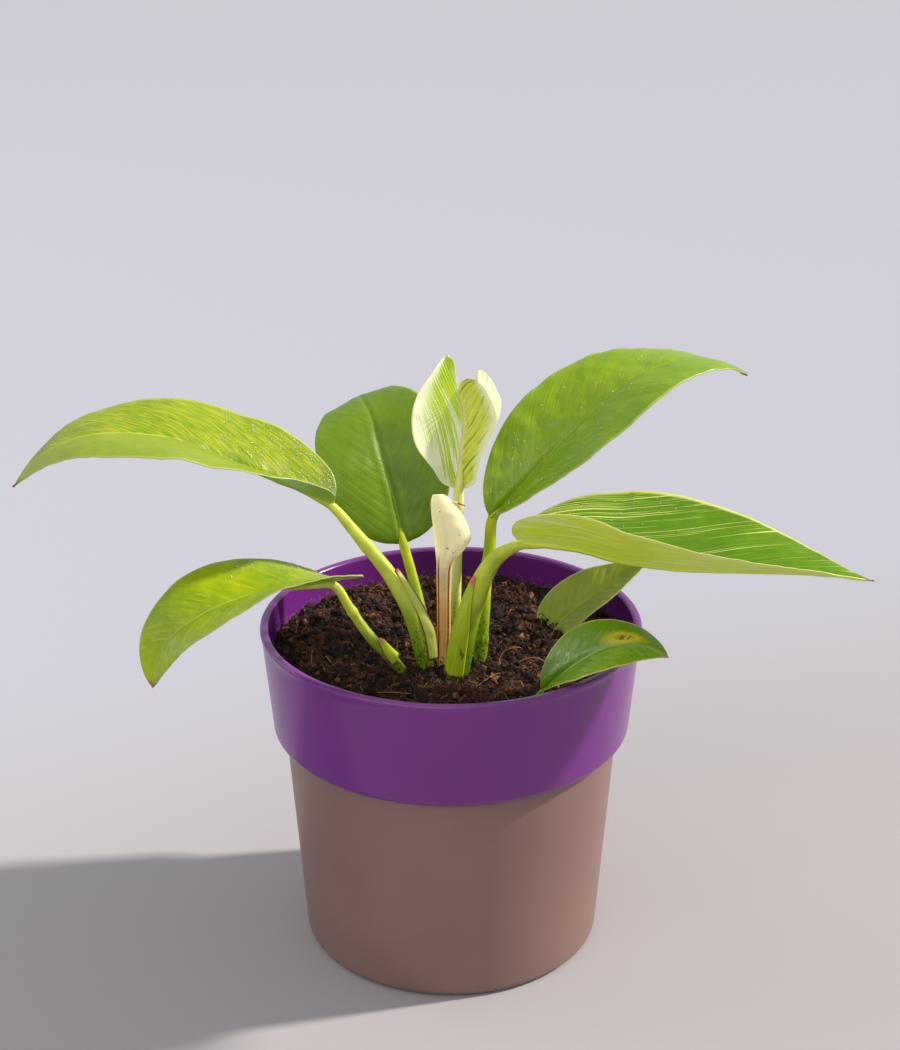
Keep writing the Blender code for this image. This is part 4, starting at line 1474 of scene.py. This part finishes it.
@dataclass(frozen=True)
class Studio:
    """The plain floor, the lights and the camera. Metres."""

    target: tuple = (-0.00025, 0.0, 0.1295)
    eye: tuple = (-0.00025, -0.5273, 0.3437)
    lens: float = 68.57
    roll: float = -0.10
    sensor_mm: float = 36.0
    clip: tuple = (0.01, 20.0)
    floor_reach: float = 9.0
    floor_near: str = "#989494"
    floor_far: str = "#9a9ba3"
    air: str = "#dedee2"
    air_strength: float = 0.95
    lamps: tuple = (
        Lamp("sun_lamp", LampKind.SUN, (1.32, 0.25, 1.06), 3.5, 5.9, "#fff8f2"),
        Lamp("front_lamp", LampKind.PANEL, (-0.5, -1.4, 1.0), 1.2, 7.0, "#f8f6fa"),
        Lamp("strip_lamp", LampKind.PANEL, (-1.1, -0.9, 0.75), 0.28, 2.2, "#fbf9ff"),
        Lamp("left_lamp", LampKind.PANEL, (-1.3, 0.4, 0.7), 1.0, 5.0, "#eef0ff"))

    def floor_material(self) -> bpy.types.Material:
        """Builds the floor's paint: warm and pale in front, cooler towards the back.

        Returns:
            The material.
        """
        made, tree = new_material("matt floor paint")
        part = add(tree, "SeparateXYZ", (add(tree, "NewGeometry"),))
        slant = add(tree, "Math", (part.outputs["X"], -0.36, part.outputs["Y"]), operation="MULTIPLY_ADD")
        away = add(tree, "MapRange", (slant, 0.02, 0.24), interpolation_type="SMOOTHSTEP")
        grain = add(tree, "TexNoise", {"Vector": add(tree, "NewGeometry"), "Scale": 260.0, "Detail": 3.0})
        colour = add(tree, "Mix", {0: away, 6: self.floor_near, 7: self.floor_far}, data_type="RGBA")
        bump = add(tree, "Bump", {"Height": grain, "Strength": 0.08, "Distance": 0.5 * MM})
        shader = add(tree, "BsdfPrincipled", {"Base Color": colour, "Roughness": 0.9, "Normal": bump,
                                              "Specular IOR Level": 0.2})
        add(tree, "OutputMaterial", {"Surface": shader})
        return made

    def build(self) -> None:
        """Builds the floor, the lamps, the light of the air and the camera."""
        scene = bpy.context.scene
        scene.view_settings.view_transform = "Standard"
        corners = self.floor_reach * np.array([(-1, -1, 0), (1, -1, 0), (1, 1, 0), (-1, 1, 0)])
        floor = bpy.data.objects.new("floor", new_mesh("floor", corners, [[0, 1, 2, 3]],
                                                       [self.floor_material()]))
        scene.collection.objects.link(floor)
        for lamp in self.lamps:
            lamp.build()
        world = bpy.data.worlds.new("studio air")
        world.use_nodes = True
        light = world.node_tree.nodes["Background"].inputs
        light["Color"].default_value = linear(self.air)
        light["Strength"].default_value = self.air_strength
        scene.world = world
        camera = bpy.data.cameras.new("camera")
        camera.lens, camera.sensor_width, camera.sensor_fit = self.lens, self.sensor_mm, "AUTO"
        camera.clip_start, camera.clip_end = self.clip
        made = bpy.data.objects.new("camera", camera)
        made.location = self.eye
        facing = (Vector(self.target) - Vector(self.eye)).to_track_quat("-Z", "Y").to_matrix().to_4x4()
        made.matrix_world = Matrix.Translation(self.eye) @ facing @ Matrix.Rotation(math.radians(self.roll),
                                                                                    4, "Z")
        scene.collection.objects.link(made)
        scene.camera = made


PALE_HALF = Tissue("#d4dca0", "#dfe4b2", "#eceecc", 0.3, 1.3, 9.0, margin=0.12, veins=0.1)
GREEN_UNDER = Tissue("#86a83a", "#95b544", "#b3cb68", 0.25, 1.2, 7.0, veins=0.35)
# Underside of the striped blade, seen on its raised near half: its lime is raised almost to full
# brightness, painted light standing in for the sun shining through that shaded half.
LIME_UNDER_PAINTED_GLOW = Tissue("#e1f147", "#ecf155", "#ecf17d", 0.35, 3.4, 3.0, veins=0.15, stripe="#f6f5c0",
                    stripes=0.05, stripe_mm=3.0, stripe_run_mm=5.0, outward=0.26)


def blades() -> tuple[LeafBlade, ...]:
    """Lists the seven open blades.

    Returns:
        The blades, with their finishes.
    """
    speckled = LeafCuticle(
        "waxy cuticle, speckled old leaf",
        right=Tissue("#628304", "#80980a", "#adaf1d", 0.62, 0.8, 3.0, veins=0.1),
        # Near half: its ground is lighter and yellower than the far half's, painted light that makes up for
        # the shade falling on this half.
        left=Tissue("#7f9416", "#8ea01e", "#adb128", 0.2, 0.8, 4.0, veins=0.12),
        rib="#bccc50", margin="#b4bb60", tip="#7c4f28", roughness=0.33, lean=1.6, vein_mm=4.6)
    plain = LeafCuticle(
        "waxy cuticle, drooping leaf",
        right=Tissue("#769407", "#a2b208", "#bac00f", 0.28, 1.0, 8.0),
        left=Tissue("#719106", "#9fb108", "#b5be0e", 0.28, 1.0, 8.0),
        rib="#a2bc3c", margin="#a9b058", roughness=0.38)
    # The back left blade's colours are darkened all over: painted shade, standing in for the shade and leaf
    # shadows that fall on it.
    shade_darkened_leaf = LeafCuticle(
        "waxy cuticle, shaded leaf",
        right=Tissue("#5a7804", "#648105", "#6f8a08", 0.2, 1.1, 9.0, veins=0.02),
        left=Tissue("#5c7a04", "#688505", "#748e08", 0.2, 1.1, 9.0, veins=0.02),
        rib="#7c9c26", margin="#7c9c30", roughness=0.42, translucent=0.12)
    vivid = LeafCuticle(
        "waxy cuticle, vivid leaf",
        right=Tissue("#719502", "#83a204", "#9fb208", 0.25, 1.0, 9.0),
        left=Tissue("#769804", "#8ba707", "#a3b50e", 0.25, 1.0, 9.0),
        rib="#8aa824", margin="#a4bc4a", roughness=0.33, relief=0.6, wax=0.2)
    striped = LeafCuticle(
        "waxy cuticle, striped leaf",
        right=Tissue("#6a9c10", "#7cac14", "#98c020", 0.3, 3.4, 3.0),
        left=Tissue("#548105", "#678f06", "#84a208", 0.3, 3.4, 3.0, stripe="#dce07c", stripes=0.02,
                    stripe_mm=1.4, stripe_run_mm=9.0, fade_in=0.07, outward=0.22),
        rib="#c2d05c", margin="#ccd070", roughness=0.33, lean=5.0, vein_mm=15.0)
    # Its underside lime carries painted light, standing in for the sun shining through the blade.
    striped_under = LeafCuticle(
        "waxy cuticle, striped leaf, underside",
        right=LIME_UNDER_PAINTED_GLOW, left=LIME_UNDER_PAINTED_GLOW, rib="#d4dc74", margin="#dce08c", glow="#dcec50",
        roughness=0.45, relief=0.2, translucent=0.38, lean=5.0, vein_mm=15.0)
    olive = LeafCuticle(
        "waxy cuticle, olive young leaf",
        right=Tissue("#73851f", "#819125", "#919e2e", 0.2, 1.2, 10.0, veins=0.03),
        left=Tissue("#839326", "#919e2d", "#a2ac38", 0.2, 1.2, 10.0, veins=0.03),
        rib="#939f38", margin="#acb060", roughness=0.5, translucent=0.14)
    glossy = LeafCuticle(
        "waxy cuticle, glossy small leaf",
        right=Tissue("#67900f", "#7a9e13", "#9cb420", 0.3, 0.9, 7.0, veins=0.08, margin=0.04),
        left=Tissue("#537e0d", "#678c12", "#89a41b", 0.3, 0.9, 7.0, veins=0.08, margin=0.04),
        rib="#84ac34", margin="#b8b848", tip="#b06a26", roughness=0.2, relief=0.45, wax=0.6, scorch=True)
    under = LeafCuticle("waxy cuticle, underside", right=GREEN_UNDER, left=GREEN_UNDER, rib="#c4d28a",
                        margin="#c8c48a", roughness=0.48, relief=0.25)
    up = ((0, 0, 1), (0, 0, 1), (0, 0, 1))
    back = (-0.3, -0.6, 0.7)
    return (
        LeafBlade("upper_left_blade", ((-33.4, -8, 47.7), (-56, -10, 58.5), (-79, -13, 69), (-104, -17, 69),
                                       (-119, -20, 57)), 20, up, (54, 22, -6), (40, 8, -14), speckled,
                  under, curl=(-8, -12, -5), lobe=4, tip_power=1.05, bumps=0.2),
        LeafBlade("lower_left_blade", ((-33.3, -23, 30.3), (-56, -27, 27.5), (-71, -33, 22.5),
                                       (-79, -35, 15), (-82, -36, 4)), 15,
                  ((0, 0.1, 1), (-0.1, 0, 1), (-0.7, -0.6, 0.3)), (-9, 36, 10), (25, 11, 0), plain, under,
                  curl=(-8, -8, -5), lobe=15.5, tip_power=0.85),
        LeafBlade("back_left_blade", ((-14.2, 20, 24), (-17.5, 25, 38), (-21, 30, 49), (-24, 38, 57),
                                      (-28, 50, 59), (-30, 60, 53)), 19.5,
                  ((0.1, -1, 0.3), (0, -0.6, 1), (0, 0, 1)), (8, 15, 10), (12, 10, -40), shade_darkened_leaf, under,
                  curl=(-15, -10, -20), lobe=1, base_power=0.6, groove=0.15),
        LeafBlade("upper_right_blade", ((11.7, 2, 38.8), (24, 5, 52), (37, 9, 65), (49, 13, 75),
                                        (63, 18, 80), (77, 22, 79), (86, 25, 74)), 19,
                  ((-0.25, -0.64, 0.73), (-0.2, -0.6, 0.8), (0, -0.3, 1)), (50, 33, 25), (40, -4, -35),
                  vivid, under, curl=(-10, -10, -10), quilt=0.24, bumps=0.28),
        LeafBlade("striped_blade", ((19.2, -22, 41.1), (35, -24, 39.8), (47, -26, 37.1), (64, -28, 35.5),
                                    (81, -30, 35.8), (100, -32, 35.7), (114, -34, 34.8)), 22.5, up,
                  (60, 36, 29), (8, 47, 8), striped, striped_under, lobe=8, tip_power=1.15, ripple=0.35),
        LeafBlade("back_right_blade", ((28, 14, -4), (34, 14, 2), (42, 14, 9), (50, 15, 14), (58, 16, 19)),
                  10, (back, back, back), (30, 35, 40), (5, 5, 5), olive, under, slot="olive_leaf", lobe=0,
                  base_power=0.35, tip_power=0.8, ripple=0.3, groove=0.1),
        LeafBlade("front_right_blade", ((25, -34.5, 1.6), (32, -35.5, 9.2), (40, -36, 14.8),
                                        (50.7, -36, 17), (59, -37, 13.5)), 9.5,
                  ((-0.3, -0.6, 0.8), (-0.1, -0.5, 0.9), (0.2, -0.3, 1)), (50, 28, -5), (55, 15, 5), glossy,
                  under, curl=(-10, -10, -10), lobe=1, base_power=1.0, ripple=0.4),
    )


def stalks() -> tuple[Stalk, ...]:
    """Lists the seven stalks.

    Returns:
        The stalks, with their finishes.
    """
    yellow = StalkSkin("fleshy yellow-green stalk skin", "#bec548", "#9cab34", "#64820e")
    green = StalkSkin("fleshy green stalk skin", "#b4bb0b", "#8fa607", "#6c8b04")
    pale = StalkSkin("fleshy pale stalk skin", "#d6d88a", "#c2ca5c", "#b2be40")
    lime = StalkSkin("fleshy lime stalk skin", "#b0bc3a", "#889c24", "#50760c")
    return (
        Stalk("upper_left_stalk", ((-6.9, -11.3, -8), (-7, -11.3, -2), (-8.4, -12, 5), (-10.5, -12.2, 13.4),
                                   (-14.2, -12, 22), (-19.3, -11, 30), (-26, -10, 38.3), (-33.2, -8, 46.4)),
              (2.6, 2.65, 2.65, 2.5, 2.3, 2.0, 1.65, 1.3), yellow, swellings=((0.655, 0.22, 1.4),),
              under=((-37.5, -8.5, 49.2), (-42, -9.0, 51.6))),
        Stalk("lower_left_stalk", ((-13, -14.8, -8), (-13.6, -15, -2.5), (-17.9, -17, 4.7),
                                   (-21.7, -18.5, 9.8), (-25, -20, 15.4), (-28.3, -22, 22),
                                   (-32.4, -23, 29)), (1.7, 1.7, 1.6, 1.5, 1.4, 1.3, 1.2), yellow,
              swellings=((0.6, 0.25, 1.2),), under=((-37.5, -23.9, 29.2), (-44, -24.8, 28.6))),
        Stalk("back_left_stalk", ((-5, 1.5, -8), (-5.2, 2.2, -2.5), (-8, 9, 4), (-11.2, 16, 13.8),
                                  (-14.2, 20, 24)), (1.5, 1.5, 1.5, 1.5, 1.4), green,
              under=((-14.9, 21.4, 27.0), (-15.8, 23.2, 30.0))),
        Stalk("new_leaf_stalk", ((1.1, 0, -8), (1.1, 0, -2), (1.4, 0, 20), (2, 1, 38.6), (2.3, 2, 48.3)),
              (1.7, 1.7, 1.6, 1.5, 1.5), pale, under=((2.7, 3.0, 53), (3.2, 3.6, 58))),
        Stalk("upper_right_stalk", ((8, -9, -8), (8.3, -8.2, -2), (9.2, -6, 10.5), (9.9, -3, 21.7),
                                    (11, 0, 30), (11.9, 2, 38.6)), (1.9, 1.9, 1.8, 1.8, 1.7, 1.5), green,
              swellings=((0.22, 0.25, 1.2),), under=((15.0, 4.0, 42.0), (19.5, 5.0, 46.8))),
        Stalk("striped_stalk", ((1.4, -15.5, -8), (1.5, -15.5, -1.5), (2.6, -15.8, 5), (4.1, -16.2, 13),
                                (6.2, -16.6, 20.5), (8.6, -17.4, 28), (12.3, -18.9, 35.0),
                                (18.7, -21.8, 40.3)), (3.6, 3.65, 3.6, 3.35, 3.1, 2.8, 2.2, 1.45), lime,
              under=((22.5, -22.5, 40.5), (27, -23.1, 40.4))),
        Stalk("front_right_stalk", ((20, -31.5, -9), (22, -33, -4), (25, -34.5, 1.6)), (1.1, 1.1, 1.0),
              green, under=((27.6, -34.6, 4.0), (31, -35.0, 7.4))),
    )


def sheaths() -> tuple[Sheath, ...]:
    """Lists the two sheaths that wrap stalks, and the strand that hangs on the cataphyll.

    Returns:
        The sheaths, with their finishes.
    """
    tight = SheathMembrane("lime sheath membrane", "#a6b81c", "#8ea414", "#c4605c", 0.0, red_tip=0.93,
                           translucent=0.05)
    short = SheathMembrane("green sheath membrane", "#b0c218", "#90ac10", "#cf7f6c", 0.1, red_tip=0.86,
                           translucent=0.05)
    strand = SheathMembrane("cream sheath strand", "#eae2ae", "#dccf92", "#c2452e", 0.02, red_tip=0.72)
    return (
        Sheath("lower_left_sheath", ((-16.8, -16.5, 3.4), (-19.4, -17.6, 6.8), (-21.7, -18.5, 9.8)),
               (2.25, 2.15, 2.1), (70, 55, 15), ((0.6, -0.4, 0.5), (0.6, -0.4, 0.5), (0.6, -0.4, 0.5)),
               short, "lower_left_sheath", flare=0.2),
        Sheath("striped_sheath", ((1.7, -15.5, -1), (4.1, -16.2, 13), (8.9, -17.6, 29)), (3.8, 3.52, 2.92),
               (75, 62, 13), ((-0.75, -0.65, 0), (-0.75, -0.65, 0.1), (-0.8, -0.45, 0.4)), tight,
               "striped_sheath", flare=0.0, thickness=0.14),
        Sheath("cream_strand", ((-3.6, -9.6, 48.6), (-0.6, -10.2, 48.7), (1.8, -10.4, 48.3),
                                (3.9, -10.2, 47.4)), (0.5, 0.42, 0.3, 0.12), (150, 150, 150),
               ((0, -1, 0), (0, -1, 0), (0, -1, 0)), strand, slot="cream_sheath", flare=0.0, thickness=0.2),
    )


def straps() -> tuple[Strap, ...]:
    """Lists the cream cataphyll in the middle, and the sheath that has come off the upper left stalk.

    Returns:
        The straps, with their finishes.
    """
    papery = SheathMembrane("cream dried sheath membrane", "#fffad2", "#f6ebb8", "#8e2b22", 0.0,
                            red_tip=1.3, seams=True, translucent=0.36)
    old = SheathMembrane("pale dried sheath membrane", "#c6cf68", "#b0bf50", "#8c2c20", 0.24)
    return (
        Strap("cream_sheath_hood", (
            (-6.0, -3.3, -0.9, 1.3, -10.8), (0.0, -3.9, -1.0, 1.4, -10.8), (8.0, -3.9, -0.2, 1.5, -10.8),
            (18.0, -3.9, -0.1, 1.6, -10.8), (25.0, -4.0, 0.1, 1.8, -10.7), (29.4, -4.0, 0.4, 2.0, -10.6),
            (31.7, -4.1, 1.4, 2.2, -10.5), (34.7, -4.4, 3.9, 2.5, -10.4), (37.8, -4.7, 5.5, 2.7, -10.2),
            (40.8, -4.9, 5.0, 2.8, -10.1), (45.3, -5.4, 2.9, 2.7, -9.8), (48.3, -5.5, 0.6, 1.9, -9.6),
            (50.4, -5.0, -1.8, 0.9, -9.5)), papery, "cream_sheath", "cream_sheath"),
        Strap("upper_left_sheath_strap", (
            (2.0, -6.4, -3.8, 0.4, -13.9), (6.0, -6.9, -3.9, 0.5, -14.0), (10.6, -7.8, -4.5, 0.6, -14.0),
            (15.6, -9.4, -6.6, 0.6, -13.8), (19.6, -11.2, -8.8, 0.6, -13.5),
            (24.2, -13.4, -11.6, 0.5, -12.9), (28.8, -15.7, -15.0, 0.2, -12.2)),
            old, "stalk", "upper_left_sheath", twist=1.4),
    )


def new_leaf() -> tuple[OpeningHalf, ...]:
    """Lists the parts of the new leaf: its two halves, and the margin that folds back behind the right one.

    Returns:
        The parts, with their finishes.
    """
    left = LeafCuticle(
        "waxy cuticle, unfurling leaf, left half",
        right=PALE_HALF,
        left=Tissue("#b6d626", "#d1e538", "#e8f567", 0.3, 1.0, 9.0, stripe="#f6f4d8", stripes=0.5,
                    stripe_mm=1.5, stripe_run_mm=9.0, margin=0.3, veins=0.0, fade_in=0.10),
        rib="#dfe09c", margin="#f4f1d2", tip="#e8e6b4", lean=3.2, roughness=0.4, translucent=0.3,
        rib_mm=0.5)
    right = LeafCuticle(
        "waxy cuticle, unfurling leaf, right half",
        left=PALE_HALF,
        right=Tissue("#c2c835", "#e6e651", "#f1ed7a", 0.35, 1.5, 7.0, stripe="#86a01c", stripes=0.27,
                     stripe_mm=1.6, stripe_run_mm=9.0, margin=0.26, veins=0.0),
        rib="#e6e2a2", margin="#eeeac0", tip="#b4ba5c", lean=1.3, roughness=0.4, translucent=0.3,
        rib_mm=1.1)
    under = LeafCuticle("waxy cuticle, unfurling leaf, underside", right=PALE_HALF, left=PALE_HALF,
                        rib="#e6e6b8", margin="#f0eed0", tip="#e6e3b0", roughness=0.45, translucent=0.3)
    return (
        OpeningHalf("new_leaf_left_half", (
            (48.1, 2.2, 0.8, 2.2, 1.8), (50.0, 2.2, -2.4, 2.3, 0.6), (54.7, 2.3, -5.0, 2.9, -0.6),
            (59.0, 2.9, -8.2, 3.6, -0.9), (62.6, 3.3, -10.1, 4.2, -0.6), (68.1, 3.5, -10.9, 5.4, 0.6),
            (72.3, 2.9, -10.4, 6.6, 2.0), (76.3, 2.0, -8.6, 8.0, 4.2), (80.0, 1.4, -5.6, 9.4, 6.8),
            (82.9, 0.9, -3.2, 10.4, 9.0), (84.3, -0.8, -1.6, 10.9, 10.6)),
            Side.LEFT, left, under, "new_leaf_blade"),
        OpeningHalf("new_leaf_right_half", (
            (48.1, 2.2, 4.0, 2.2, 1.6), (50.3, 2.2, 7.0, 2.3, 0.6), (54.7, 2.3, 7.7, 2.9, 0.0),
            (58.3, 2.8, 8.7, 3.4, -0.2), (64.0, 3.4, 11.2, 4.5, 0.4), (68.1, 3.5, 12.9, 5.4, 1.6),
            (71.5, 3.0, 12.4, 6.4, 2.8), (74.6, 2.3, 10.9, 7.4, 4.4), (76.9, 2.6, 9.2, 8.2, 6.0),
            (78.3, 4.4, 7.0, 8.6, 7.6)), Side.RIGHT, right, under),
        OpeningHalf("new_leaf_folded_margin", (
            (65.0, 11.0, 11.8, 2.0, 2.4), (68.1, 11.6, 13.4, 2.6, 4.6), (71.5, 11.0, 14.2, 4.0, 7.0),
            (74.6, 9.8, 13.1, 5.4, 8.6), (78.0, 7.6, 11.0, 8.0, 10.2), (80.2, 7.6, 8.8, 9.8, 10.8)),
            Side.RIGHT, under, under),
    )


def main() -> None:
    """Builds the plant, its pot and its studio."""
    logging.basicConfig(level=logging.INFO, format="%(name)s: %(message)s")
    Studio().build()
    NestedPot().build()
    PottingMix().build()
    surfaces = {blade.name: blade.build() for blade in blades()}
    for piece in new_leaf() + stalks() + sheaths() + straps():
        piece.build()
    Dew((
        DewPatch("upper_left_blade", (0.45, 0.99), (0.02, 0.42), 560, (0.06, 0.3), 1.5),
        DewPatch("upper_right_blade", (0.1, 0.98), (0.03, 0.7), 150, (0.07, 0.3), 1.1),
        DewPatch("lower_left_blade", (0.7, 0.99), (0.1, 0.5), 60, (0.1, 0.3), 1.2),
        DewPatch("striped_blade", (0.02, 0.4), (0.05, 0.5), 90, (0.08, 0.26), 1.2),
        DewPatch("front_right_blade", (0.1, 0.9), (0.05, 0.5), 40, (0.07, 0.2), 1.0),
    )).build(surfaces)


if __name__ == "__main__":
    main()
